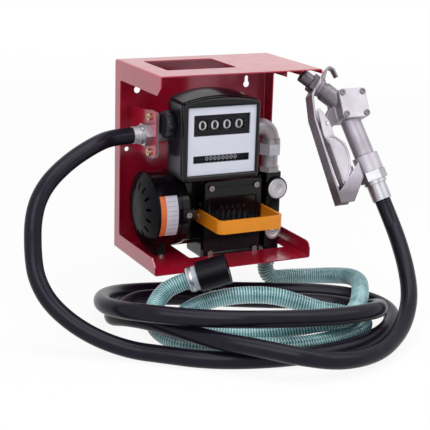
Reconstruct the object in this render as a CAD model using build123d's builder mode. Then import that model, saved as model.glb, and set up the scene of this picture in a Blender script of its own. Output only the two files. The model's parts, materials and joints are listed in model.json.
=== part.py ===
from build123d import *
import os
from math import cos, pi, radians, sin, tan

os.makedirs("parts", exist_ok=True)

# Wall-hung diesel transfer pump: X to the right, Y into the wall, Z up.
# The origin is midway between the two keyholes, on the wall.

# Clearances
seat_gap = 0.1
fixed_fit = 0.02
running_fit = 0.05
moving_gap = 0.3

# Wall bracket, one folded sheet
bracket_width = 300
bracket_height = 339
keyhole_height = 283
top_depth = 198
shelf_depth = 187
sheet = 2
bend = 4
left_strip = 26
right_strip = 29
low_flange = 29
high_flange = 33
corner_cut = 13
flange_round = 15
notch_back = 131
notch_lip = 8
step_back = 78
step_rise = 11
window_round = 5
keyhole_pitch = 216
keyhole_radius = 6
keyhole_slot = 3.5
keyhole_rise = 12
screw_pitch = 254
screw_drop = 105
screw_hole = 4
cutout_width = 129
cutout_length = 104
cutout_x = -49.5
cutout_y = -91
well_width = 191
well_length = 87
well_x = 41.5
well_y = -76.5

# Meter
flow_y = -98
flow_z = -59
flow_bore = 10
meter_left = -98
meter_right = 44
meter_x = -25.5
meter_bottom = -128
meter_top = 5
hood_rise = 15
housing_back = -112
face_back = -172
hood_front = -180
face_thickness = 3
face_rim = 9
face_rim_right = 6
housing_wall = 4
plate_left = -126
plate_sheet = 2
chamber_radius = 42
chamber_wall = 14
chamber_back = -78
body_back = -64
flange_thickness = 8
port_radius = 14
port_right = 62
disc_radius = 36
disc_thickness = 4
disc_tilt = 10
ball_radius = 9
post_radius = 6
bolt_spread = 61
bolt_shift = 4

# Counter
wheel_radius = 26
wheel_width = 20
wheel_pitch = 22.7
wheel_count = 4
wheel_first_x = -62
wheel_z = -35
wheel_face_gap = 4
drum_radius = 17
drum_length = 96
drum_z = -91.5
axle_radius = 3
counter_width = 105
counter_height = 36
total_height = 13
counter_x = -25.5
knob_y = -130
knob_z = -37
knob_radius = 24
knob_width = 15.5
knob_flutes = 18
spindle_radius = 4

# Motor
motor_y = -82
motor_z = -195
motor_left = -123
motor_right = -76
motor_radius = 64
motor_flange = 66
motor_wall = 4
dome_depth = 13
dome_wall = 2
vent_count = 14
vent_radius = 42
shaft_radius = 6
rotor_radius = 34
air_gap = 1.5
stack_left = -104
stack_length = 22
fan_radius = 44
fan_blades = 8
label_left = -121
label_width = 32
label_height = 70
label_thickness = 0.6
foot_x = -94
foot_y = -62
foot_length = 18
foot_width = 44
foot_height = 40
foot_screw_pitch = 26
shelf_screw = (-97, -91)

# Adapter between motor and pump
adapter_front = -86.5
adapter_back = -46
adapter_bottom = -260
adapter_top = -150
arm_z = -191
arm_front = -156
arm_thickness = 7
arm_height = 18
arm_screw_x = -75

# Pump
pump_left = -27
pump_right = 88.5
pump_bottom = -291
pump_top = -146
pump_front = -107
pump_back = -49
pump_wall = 8
pump_round = 8
cover_thickness = 8
cover_screw_inset = 13.5
ring_radius = 24.5
ring_bore = 20
ring_length = 44
ring_cheek = 6
eccentricity = 2
pump_rotor_radius = 16
vane_reach = 17.5
vane_count = 5
vane_thickness = 3
vane_depth = 8
block_left = 97
block_right = 127
block_front = -114
block_back = -72
block_top = -141
web_front = -85
riser_x = 110
bypass_x = 116
bypass_z = -170
bypass_bore = 13
bypass_seat = 8
seat_y = -86
bypass_rim = 21
bypass_disc = 18
strainer_x = 112
strainer_z = -249
strainer_bore = 10
strainer_disc = 15
chamber_end = -76
gallery_y = -73
gallery_radius = 7
spring_wire = 1.2
lug_screw_x = 116
lug_screw_y = -20
lug_width = 22
lug_height = 10
lug_margin = 10

# Riser to the meter
nipple_radius = 14.5
nipple_across = 33
union_across = 36
union_bottom = -110
union_height = 20
elbow_radius = 15
elbow_bend = 25
elbow_collar = 17.5
pipe_bore = 7

# Carrying handle
handle_y = -99
handle_z = -211
handle_height = 23.5
handle_strap = 4.5
handle_side = 0.5
handle_front = -188
handle_round = 12
pivot_radius = 5
pivot_head = 8
pivot_head_height = 2.5
pivot_depth = 7

# Screws
m6_shank = 2.9
m6_hole = 3
m6_head = 5
m6_socket = 2.6

# Hoses
delivery_hose_radius = 14
suction_hose_radius = 15
delivery_start_x = -144
inlet_start_z = -315
# Both routes are points in the air and on the surface that carries the coils
delivery_points = [
    (delivery_start_x, flow_y, flow_z),
    (-190, -98, -59), (-234, -122, -65), (-287, -140, -87), (-333, -160, -118), (-358, -180, -157),
    (-365, -198, -215), (-365, -218, -254), (-348, -244, -292), (-307, -284, -327), (-252, -320, -349),
    (-203, -362, -349), (-164, -397, -349), (-110, -424, -349), (-37, -443, -349), (46, -447, -349),
    (122, -430, -349), (186, -393, -349), (231, -340, -349), (241, -280, -349), (214, -222, -349),
    (150, -175, -349), (70, -142, -349), (-13, -103, -349), (-82, -80, -349), (-139, -71, -347),
    (-186, -92, -338), (-231, -151, -321), (-259, -230, -304), (-252, -291, -293), (-221, -334, -288),
    (-177, -369, -288), (-124, -400, -288), (-58, -424, -289), (15, -438, -292), (82, -440, -295),
    (143, -420, -302), (180, -372, -317), (193, -314, -341), (178, -266, -349), (140, -232, -349),
    (84, -208, -349), (22, -177, -349), (-42, -143, -349), (-96, -116, -349), (-141, -104, -349),
    (-176, -122, -349), (-210, -160, -346), (-236, -208, -336), (-229, -251, -322), (-203, -293, -318),
    (-173, -352, -318), (-139, -410, -318), (-93, -455, -319), (-45, -498, -325), (20, -514, -337),
    (98, -494, -343), (157, -458, -335), (197, -424, -320), (227, -388, -296), (246, -345, -264),
    (254, -307, -230),
]
suction_points = [
    (riser_x, flow_y, inlet_start_z),
    (110, -98, -328), (118, -98, -341), (132, -98, -348), (153, -98, -348), (182, -107, -347),
    (209, -127, -343), (226, -158, -335), (230, -202, -323.5), (216, -250, -315), (190, -295, -311),
    (160, -340, -312), (127, -380, -314), (89, -406, -317), (50, -400, -318), (8, -375, -331),
    (-35, -348, -345), (-75, -322, -348), (-107, -296, -348), (-123, -266, -348), (-122, -235, -348),
    (-104, -210, -345), (-74, -199, -338), (-38, -206, -329), (0, -226, -321), (45, -250, -320),
    (82, -271, -331), (118, -285, -345), (148, -300, -348), (163, -328, -348), (161, -358, -348),
    (138, -383, -348), (99, -398, -348), (50, -409, -348), (-10, -407, -348), (-65, -382, -348),
    (-115, -362, -348), (-153, -338, -348), (-173, -306, -348), (-182, -266, -343), (-173, -229, -330),
    (-150, -203, -316),
]

# Nozzle, drawn in its own plane: a to the right, b up, facing the viewer
nozzle_origin = (150, -146, 33)
nozzle_lean = 28
valve_a = 69
valve_b = -58
valve_width = 54
valve_height = 53
valve_round = 8
valve_front = 24
valve_back = 22
nozzle_cover_thickness = 3
nozzle_screw_width = 41
nozzle_screw_height = 39
spout_start = (50, -46)
spout_rise = 40.7
spout_base_radius = 17
spout_neck_radius = 14.8
spout_radius = 12
spout_bore = 9
spout_length = 78
hook_start = 38
band_width = 6
neck_end = 50.2
spout_nut_length = 8
grip_start = (69, -80)
grip_lean = 12.3
grip_radius = 18
grip_bore = 10
grip_length = 70
collar_radius = 23
collar_length = 30
swivel_radius = 24.5
swivel_length = 16
ferrule_radius = 17
ferrule_length = 36
trigger_pivot = (18, -87)
pin_radius = 3
lug_half = 5
lever_half = 8
guard_half = 12

# Foot valve at the end of the suction hose
foot_centre = (-60, -227, -274)
foot_axis = (0.85, -0.40, 0.33)
foot_radius = 26
foot_length_valve = 52
foot_wall = 3
collar_ring_radius = 21
collar_ring_length = 18
foot_slots = 12
foot_slot_centre = 14.5
foot_slot_length = 9
foot_slot_width = 4
foot_poppet_radius = 20.5
foot_poppet_thickness = 3
foot_stem_radius = 2
foot_screen_thickness = 3
foot_hub_length = 4

shelf_z = -keyhole_height
top_z = shelf_z + bracket_height
half_width = bracket_width / 2


def corner(sketch, x, y):
    return sketch.vertices().sort_by_distance((x, y, 0))[0]


def screw(place, shank, length, head, height, socket):
    """A screw whose head sits on the plane and whose shank runs against its normal."""
    with BuildPart() as single:
        with BuildSketch(place):
            Circle(head)
        extrude(amount=height)
        with BuildSketch(place):
            Circle(shank)
        extrude(amount=-length)
        with BuildSketch(place.offset(height)):
            RegularPolygon(socket, 6)
        extrude(amount=-height / 2, mode=Mode.SUBTRACT)
    return single.part


# Screws in the shelf: two under the motor, one under the port block
foot_spots = [(foot_x, foot_y - foot_screw_pitch / 2), (foot_x, foot_y + foot_screw_pitch / 2)]
frame_spots = foot_spots + [(lug_screw_x, lug_screw_y)]

# Wall frame: a folded tray, open to the front, with cut side walls
with BuildPart() as wall_frame:
    with Locations((0, 0, shelf_z)):
        Box(bracket_width, top_depth, bracket_height, align=(Align.CENTER, Align.MAX, Align.MIN))
    fillet(wall_frame.edges() - wall_frame.faces().sort_by(Axis.Y)[0].edges(), bend)
    offset(amount=-sheet, openings=wall_frame.faces().sort_by(Axis.Y)[0])
    with Locations((0, -shelf_depth, shelf_z - 1)):
        Box(
            bracket_width + 2, top_depth, bend + sheet + 1,
            align=(Align.CENTER, Align.MAX, Align.MIN), mode=Mode.SUBTRACT,
        )
    with BuildSketch(Plane.YZ.offset(-half_width - 1)) as left_window:
        with BuildLine():
            Polyline(
                (-left_strip, shelf_z + low_flange),
                (-shelf_depth + corner_cut, shelf_z + low_flange),
                (-shelf_depth, shelf_z + low_flange - corner_cut),
                (-shelf_depth, shelf_z - 1),
                (-top_depth - 1, shelf_z - 1),
                (-top_depth - 1, top_z - high_flange + corner_cut),
                (-top_depth, top_z - high_flange + corner_cut),
                (-top_depth + corner_cut, top_z - high_flange),
                (-left_strip, top_z - high_flange),
                close=True,
            )
        make_face()
        fillet(corner(left_window, -left_strip, shelf_z + low_flange), window_round)
        fillet(corner(left_window, -left_strip, top_z - high_flange), window_round)
    extrude(amount=bend + 2, mode=Mode.SUBTRACT)
    with BuildSketch(Plane.YZ.offset(half_width + 1)) as right_window:
        with BuildLine():
            Polyline(
                (-right_strip, shelf_z + low_flange),
                (-shelf_depth, shelf_z + low_flange),
                (-shelf_depth, shelf_z - 1),
                (-top_depth - 1, shelf_z - 1),
                (-top_depth - 1, top_z - notch_lip),
                (-notch_back, top_z - notch_lip),
                (-notch_back, top_z - high_flange + step_rise),
                (-step_back, top_z - high_flange + step_rise),
                (-step_back, top_z - high_flange),
                (-right_strip, top_z - high_flange),
                close=True,
            )
        make_face()
        fillet(corner(right_window, -shelf_depth, shelf_z + low_flange), flange_round)
        fillet(corner(right_window, -right_strip, shelf_z + low_flange), window_round)
        fillet(corner(right_window, -right_strip, top_z - high_flange), window_round)
    extrude(amount=-bend - 2, mode=Mode.SUBTRACT)
    with BuildSketch(Plane.XY.offset(top_z + 1)):
        with Locations((cutout_x, cutout_y)):
            RectangleRounded(cutout_width, cutout_length, window_round)
    extrude(amount=-sheet - 2, mode=Mode.SUBTRACT)
    with BuildSketch(Plane.XY.offset(shelf_z - 1)):
        with Locations((well_x, well_y)):
            RectangleRounded(well_width, well_length, window_round)
    extrude(amount=sheet + 2, mode=Mode.SUBTRACT)
    with BuildSketch(Plane.XZ.offset(-1)):
        with GridLocations(keyhole_pitch, 1, 2, 1):
            Circle(keyhole_radius)
        with Locations((0, keyhole_rise / 2)):
            with GridLocations(keyhole_pitch, 1, 2, 1):
                Rectangle(2 * keyhole_slot, keyhole_rise)
        with Locations((0, keyhole_rise)):
            with GridLocations(keyhole_pitch, 1, 2, 1):
                Circle(keyhole_slot)
        with Locations((0, -screw_drop)):
            with GridLocations(screw_pitch, 1, 2, 1):
                Circle(screw_hole)
    extrude(amount=sheet + 2, mode=Mode.SUBTRACT)
    with BuildSketch(Plane.XY.offset(shelf_z - 1)):
        with Locations(*frame_spots, shelf_screw):
            Circle(m6_hole)
    extrude(amount=sheet + 2, mode=Mode.SUBTRACT)
wall_frame.part.label = "wall_frame"
export_step(wall_frame.part, "parts/wall_frame.step")

# Screws that hold the pump on the shelf, from below, and one that stands on the shelf
with BuildPart() as frame_screws:
    for x, y in frame_spots:
        place = Plane(origin=(x, y, shelf_z), z_dir=(0, 0, -1))
        add(screw(place, m6_shank, 9, m6_head, 3.5, m6_socket))
    place = Plane(origin=(*shelf_screw, shelf_z + sheet))
    add(screw(place, m6_shank, 7, m6_head, 3.5, m6_socket))
frame_screws.part.label = "frame_screws"
export_step(frame_screws.part, "parts/frame_screws.step")

# Meter support plate, welded to the back of the frame
plate_right = plate_left + plate_sheet
with BuildPart() as meter_plate:
    with BuildSketch(Plane.YZ.offset(plate_left)):
        with BuildLine():
            Polyline((-sheet, -101), (-sheet, -26), (-128, -15), (-128, -93), close=True)
        make_face()
        with Locations((flow_y, flow_z)):
            Circle(flow_bore + 1, mode=Mode.SUBTRACT)
        with Locations((flow_y - bolt_shift, flow_z)):
            with GridLocations(1, bolt_spread, 1, 2):
                Circle(m6_hole, mode=Mode.SUBTRACT)
    extrude(amount=plate_sheet)
    with Locations((plate_right, -sheet, -100)):
        Box(18, plate_sheet, 73, align=(Align.MIN, Align.MAX, Align.MIN))
meter_plate.part.label = "meter_plate"
export_step(meter_plate.part, "parts/meter_plate.step")

# Brass bolts that hold the meter to its plate
with BuildPart() as meter_bolts:
    for side in (-1, 1):
        bolt_z = flow_z + side * bolt_spread / 2
        place = Plane(origin=(plate_left, flow_y - bolt_shift, bolt_z), z_dir=(-1, 0, 0))
        add(screw(place, m6_shank, 9, 6, 4, 3))
meter_bolts.part.label = "meter_bolts"
export_step(meter_bolts.part, "parts/meter_bolts.step")

# Meter body: a round chamber, open to the front, with a flange and a port
front_plane = Plane.XZ
with BuildPart() as meter_body:
    with BuildSketch(front_plane.offset(-body_back)):
        with Locations((meter_x, flow_z)):
            Circle(chamber_radius + chamber_wall)
    extrude(amount=body_back - housing_back)
    with BuildSketch(Plane.YZ.offset(plate_right)):
        with Locations((flow_y, flow_z)):
            RectangleRounded(40, bolt_spread + 18, 8)
    extrude(amount=flange_thickness)
    with BuildSketch(Plane.YZ.offset(plate_right)):
        with Locations((flow_y, flow_z)):
            Circle(port_radius)
    extrude(amount=meter_x - plate_right)
    with BuildSketch(Plane.YZ.offset(port_right)):
        with Locations((flow_y, flow_z)):
            Circle(port_radius)
    extrude(amount=meter_x - port_right)
    with BuildSketch(front_plane.offset(-chamber_back)):
        with Locations((meter_x, flow_z)):
            Circle(chamber_radius)
    extrude(amount=chamber_back - housing_back, mode=Mode.SUBTRACT)
    with BuildSketch(front_plane.offset(-chamber_back)):
        with Locations((meter_x, flow_z)):
            Circle(post_radius)
    extrude(amount=chamber_back - flow_y - ball_radius - moving_gap)
    with BuildSketch(Plane.YZ.offset(plate_right)):
        with Locations((flow_y, flow_z)):
            Circle(flow_bore)
    extrude(amount=meter_x - disc_radius - plate_right, mode=Mode.SUBTRACT)
    with BuildSketch(Plane.YZ.offset(port_right)):
        with Locations((flow_y, flow_z)):
            Circle(flow_bore)
    extrude(amount=meter_x + disc_radius - port_right, mode=Mode.SUBTRACT)
    with BuildSketch(Plane.YZ.offset(plate_right)):
        with Locations((flow_y - bolt_shift, flow_z)):
            with GridLocations(1, bolt_spread, 1, 2):
                Circle(m6_hole)
    extrude(amount=flange_thickness, mode=Mode.SUBTRACT)
meter_body.part.label = "meter_body"
export_step(meter_body.part, "parts/meter_body.step")

# Nutating disc with its ball and drive pin
disc_plane = Plane(
    origin=(meter_x, flow_y, flow_z),
    x_dir=(1, 0, 0),
    z_dir=(0, -cos(radians(disc_tilt)), sin(radians(disc_tilt))),
)
with BuildPart() as meter_disc:
    with BuildSketch(disc_plane.offset(-disc_thickness / 2)):
        Circle(disc_radius)
    extrude(amount=disc_thickness)
    with Locations((meter_x, flow_y, flow_z)):
        Sphere(ball_radius)
    with BuildSketch(disc_plane):
        Circle(2)
    extrude(amount=13)
meter_disc.part.label = "meter_disc"
export_step(meter_disc.part, "parts/meter_disc.step")

# Register housing with its arched hood
wheel_front = face_back + wheel_face_gap
wheel_y = wheel_front + wheel_radius
drum_y = wheel_front + drum_radius
face_left = meter_left + face_rim
face_right = meter_right - face_rim_right
face_bottom = meter_bottom + face_rim + 1
face_top = meter_top - face_rim + 1
face_x = (face_left + face_right) / 2
face_z = (face_bottom + face_top) / 2
hood_x = (meter_left + meter_right) / 2
with BuildPart() as meter_housing:
    with BuildSketch(front_plane.offset(-housing_back)) as outline:
        with BuildLine():
            Polyline(
                (meter_left, meter_top),
                (meter_left, meter_bottom),
                (meter_right, meter_bottom),
                (meter_right, meter_top),
            )
            ThreePointArc((meter_right, meter_top), (hood_x, meter_top + hood_rise), (meter_left, meter_top))
        make_face()
        fillet(corner(outline, meter_left, meter_bottom), 6)
        fillet(corner(outline, meter_right, meter_bottom), 6)
    extrude(amount=housing_back - hood_front)
    with BuildSketch(front_plane.offset(-face_back)):
        with Locations((face_x, face_z)):
            Rectangle(face_right - face_left + 2 * seat_gap, face_top - face_bottom + 2 * seat_gap)
    extrude(amount=face_back - hood_front, mode=Mode.SUBTRACT)
    with BuildSketch(front_plane.offset(-face_back)):
        with Locations((face_x, face_z)):
            Rectangle(face_right - face_left - 6, face_top - face_bottom - 6)
    extrude(amount=face_back - housing_back + 3, mode=Mode.SUBTRACT)
    with BuildSketch(Plane.YZ.offset(meter_left - 1)):
        with Locations((knob_y, knob_z)):
            Circle(spindle_radius + running_fit)
    extrude(amount=face_rim + housing_wall, mode=Mode.SUBTRACT)
    for axle_y, axle_z in ((wheel_y, wheel_z), (drum_y, drum_z)):
        with BuildSketch(Plane.YZ.offset(face_left)):
            with Locations((axle_y, axle_z)):
                Circle(axle_radius)
        extrude(amount=face_right - face_left, mode=Mode.SUBTRACT)
meter_housing.part.label = "meter_housing"
export_step(meter_housing.part, "parts/meter_housing.step")

# Counter axles, fixed in the housing walls
with BuildPart() as counter_axles:
    for axle_y, axle_z in ((wheel_y, wheel_z), (drum_y, drum_z)):
        with BuildSketch(Plane.YZ.offset(face_left)):
            with Locations((axle_y, axle_z)):
                Circle(axle_radius - fixed_fit)
        extrude(amount=face_right - face_left)
counter_axles.part.label = "counter_axles"
export_step(counter_axles.part, "parts/counter_axles.step")

# Number wheels
for number in range(wheel_count):
    wheel_x = wheel_first_x + number * wheel_pitch
    with BuildPart() as counter_wheel:
        with BuildSketch(Plane.YZ.offset(wheel_x - wheel_width / 2)):
            with Locations((wheel_y, wheel_z)):
                Circle(wheel_radius)
                Circle(axle_radius + running_fit, mode=Mode.SUBTRACT)
        extrude(amount=wheel_width)
    counter_wheel.part.label = f"counter_wheel_{number + 1}"
    export_step(counter_wheel.part, f"parts/counter_wheel_{number + 1}.step")

# Running total, a drum of small wheels
with BuildPart() as total_drum:
    with BuildSketch(Plane.YZ.offset(counter_x - drum_length / 2)):
        with Locations((drum_y, drum_z)):
            Circle(drum_radius)
            Circle(axle_radius + running_fit, mode=Mode.SUBTRACT)
    extrude(amount=drum_length)
total_drum.part.label = "total_drum"
export_step(total_drum.part, "parts/total_drum.step")

# Face plate with the two reading windows
with BuildPart() as meter_face:
    with BuildSketch(front_plane.offset(-face_back)):
        with Locations((face_x, face_z)):
            Rectangle(face_right - face_left, face_top - face_bottom)
        with Locations((counter_x, wheel_z + 1)):
            Rectangle(counter_width, counter_height, mode=Mode.SUBTRACT)
        with Locations((counter_x, drum_z)):
            Rectangle(counter_width, total_height, mode=Mode.SUBTRACT)
    extrude(amount=face_thickness)
meter_face.part.label = "meter_face"
export_step(meter_face.part, "parts/meter_face.step")

# Panes over the wheels and the total
with BuildPart() as meter_panes:
    with BuildSketch(front_plane.offset(-face_back)):
        with Locations((counter_x, wheel_z + 1)):
            Rectangle(counter_width - 2 * seat_gap, counter_height - 2 * seat_gap)
        with Locations((counter_x, drum_z)):
            Rectangle(counter_width - 2 * seat_gap, total_height - 2 * seat_gap)
    extrude(amount=face_thickness - 1)
meter_panes.part.label = "meter_panes"
export_step(meter_panes.part, "parts/meter_panes.step")

# Reset knob on its spindle
knob_left = plate_right + flange_thickness + 1.5
with BuildPart() as reset_knob:
    with BuildSketch(Plane.YZ.offset(knob_left)):
        with Locations((knob_y, knob_z)):
            Circle(knob_radius)
            with PolarLocations(knob_radius + 1, knob_flutes):
                Circle(2.5, mode=Mode.SUBTRACT)
    extrude(amount=knob_width)
    with BuildSketch(Plane.YZ.offset(knob_left + knob_width)):
        with Locations((knob_y, knob_z)):
            Circle(spindle_radius)
    extrude(amount=meter_left + face_rim - knob_left - knob_width)
reset_knob.part.label = "reset_knob"
export_step(reset_knob.part, "parts/reset_knob.step")

# Union nut and ferrule where the delivery hose leaves the meter
ferrule_left = delivery_start_x + 6
with BuildPart() as delivery_nut:
    with BuildSketch(Plane.YZ.offset(plate_left)):
        with Locations((flow_y, flow_z)):
            RegularPolygon(18, 6, major_radius=False)
    extrude(amount=ferrule_left - plate_left)
    with BuildSketch(Plane.YZ.offset(plate_left)):
        with Locations((flow_y, flow_z)):
            Circle(flow_bore - fixed_fit)
    extrude(amount=20)
    with BuildSketch(Plane.YZ.offset(ferrule_left)):
        with Locations((flow_y, flow_z)):
            Circle(pipe_bore)
    extrude(amount=40, mode=Mode.SUBTRACT)
delivery_nut.part.label = "delivery_nut"
export_step(delivery_nut.part, "parts/delivery_nut.step")

with BuildPart() as delivery_ferrule:
    with BuildSketch(Plane.YZ.offset(delivery_start_x)):
        with Locations((flow_y, flow_z)):
            Circle(delivery_hose_radius + 2)
            Circle(pipe_bore, mode=Mode.SUBTRACT)
    extrude(amount=ferrule_left - delivery_start_x)
delivery_ferrule.part.label = "delivery_ferrule"
export_step(delivery_ferrule.part, "parts/delivery_ferrule.step")

# Motor
motor_plane = Plane(origin=(0, motor_y, motor_z), x_dir=(0, 1, 0), z_dir=(1, 0, 0))
shield_left = stack_left - 8
with BuildPart() as motor_body:
    with BuildSketch(motor_plane.offset(motor_left)):
        Circle(motor_radius)
    extrude(amount=motor_right - motor_left)
    with BuildSketch(motor_plane.offset(motor_right - 5)):
        Circle(motor_flange)
    extrude(amount=5)
    with Locations((foot_x, foot_y, shelf_z + sheet)):
        Box(foot_length, foot_width, foot_height, align=(Align.CENTER, Align.CENTER, Align.MIN))
    with BuildSketch(motor_plane.offset(motor_left)):
        Circle(motor_radius - motor_wall)
    extrude(amount=shield_left - motor_left, mode=Mode.SUBTRACT)
    with BuildSketch(motor_plane.offset(shield_left + 4)):
        Circle(motor_radius - motor_wall)
    extrude(amount=motor_right - shield_left - 4, mode=Mode.SUBTRACT)
    with BuildSketch(motor_plane.offset(shield_left)):
        Circle(shaft_radius + running_fit)
    extrude(amount=4, mode=Mode.SUBTRACT)
    with BuildSketch(Plane.XY.offset(shelf_z + sheet)):
        with Locations(*foot_spots):
            Circle(m6_hole)
    extrude(amount=9, mode=Mode.SUBTRACT)
motor_body.part.label = "motor_body"
export_step(motor_body.part, "parts/motor_body.step")

# Domed fan cover with a ring of vents
rim_length = 3
motor_axis = Axis((0, motor_y, motor_z), (1, 0, 0))
with BuildPart() as fan_cover:
    for inset, mode in ((0, Mode.ADD), (dome_wall, Mode.SUBTRACT)):
        rim_x = motor_left - rim_length + inset
        rim_y = motor_y - motor_flange + 2 * inset
        with BuildSketch(Plane.XY.offset(motor_z)):
            with BuildLine():
                Polyline(
                    (rim_x - dome_depth, motor_y), (motor_left, motor_y), (motor_left, rim_y), (rim_x, rim_y),
                )
                ThreePointArc(
                    (rim_x, rim_y),
                    (rim_x - 0.72 * dome_depth, motor_y - vent_radius),
                    (rim_x - dome_depth, motor_y),
                )
            make_face()
        revolve(axis=motor_axis, mode=mode)
    with BuildSketch(motor_plane.offset(motor_left - 40)):
        with PolarLocations(vent_radius, vent_count, start_angle=180 / vent_count):
            SlotOverall(14, 5)
    extrude(amount=37, mode=Mode.SUBTRACT)
fan_cover.part.label = "fan_cover"
export_step(fan_cover.part, "parts/fan_cover.step")

# Stator, shaft with rotor, and fan
with BuildPart() as stator:
    with BuildSketch(motor_plane.offset(stack_left)):
        Circle(motor_radius - motor_wall - fixed_fit)
        Circle(rotor_radius + air_gap, mode=Mode.SUBTRACT)
    extrude(amount=stack_length)
stator.part.label = "stator"
export_step(stator.part, "parts/stator.step")

ring_left = pump_left + pump_wall
shaft_left = motor_left - 6
shaft_right = ring_left + ring_length - 2
with BuildPart() as motor_shaft:
    with BuildSketch(motor_plane.offset(shaft_left)):
        Circle(shaft_radius)
    extrude(amount=shaft_right - shaft_left)
    with BuildSketch(motor_plane.offset(stack_left)):
        Circle(rotor_radius)
    extrude(amount=stack_length)
motor_shaft.part.label = "motor_shaft"
export_step(motor_shaft.part, "parts/motor_shaft.step")

fan_left = motor_left - 4
with BuildPart() as fan:
    with BuildSketch(motor_plane.offset(fan_left)):
        Circle(12)
        Circle(shaft_radius + fixed_fit, mode=Mode.SUBTRACT)
    extrude(amount=12)
    with BuildSketch(motor_plane.offset(fan_left + 9)):
        Circle(fan_radius)
        Circle(shaft_radius + fixed_fit, mode=Mode.SUBTRACT)
    extrude(amount=3)
    with BuildSketch(motor_plane.offset(fan_left)):
        with PolarLocations((12 + fan_radius) / 2 - 0.5, fan_blades):
            Rectangle(fan_radius - 11, 2.4)
    extrude(amount=9.5)
fan.part.label = "fan"
export_step(fan.part, "parts/fan.step")

# Rating label, a thin curved plate on the front of the motor
with BuildPart() as motor_label:
    with BuildSketch(motor_plane.offset(label_left)):
        Circle(motor_radius + label_thickness)
        Circle(motor_radius, mode=Mode.SUBTRACT)
        with Locations((-motor_radius, 0)):
            Rectangle(2 * motor_radius, label_height, mode=Mode.INTERSECT)
    extrude(amount=label_width)
motor_label.part.label = "motor_label"
export_step(motor_label.part, "parts/motor_label.step")

# Adapter casting, which closes the motor and carries the pump
with BuildPart() as adapter:
    with BuildSketch(motor_plane.offset(motor_right)):
        Circle(motor_flange)
    extrude(amount=8)
    with Locations((motor_right, adapter_front, adapter_bottom)):
        Box(
            pump_left - motor_right, adapter_back - adapter_front, adapter_top - adapter_bottom,
            align=Align.MIN,
        )
    fillet(adapter.edges().filter_by(Axis.X), 6)
    arm_back = arm_front + arm_thickness
    with BuildSketch(Plane.XY.offset(arm_z - arm_height / 2)):
        with BuildLine():
            Polyline(
                (motor_right - 8, arm_back), (motor_right - 8, arm_front), (motor_right + 12, arm_front),
                (motor_right + 38, -118), (motor_right + 38, adapter_front + 2),
                (motor_right + 8, adapter_front + 2), (motor_right + 8, arm_back), close=True,
            )
        make_face()
    extrude(amount=arm_height)
    with BuildSketch(front_plane.offset(-arm_front)):
        with Locations((arm_screw_x, arm_z)):
            Circle(m6_hole)
    extrude(amount=-arm_thickness, mode=Mode.SUBTRACT)
    with BuildSketch(motor_plane.offset(motor_right)):
        Circle(shaft_radius + running_fit)
    extrude(amount=pump_left - motor_right, mode=Mode.SUBTRACT)
adapter.part.label = "adapter"
export_step(adapter.part, "parts/adapter.step")

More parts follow.
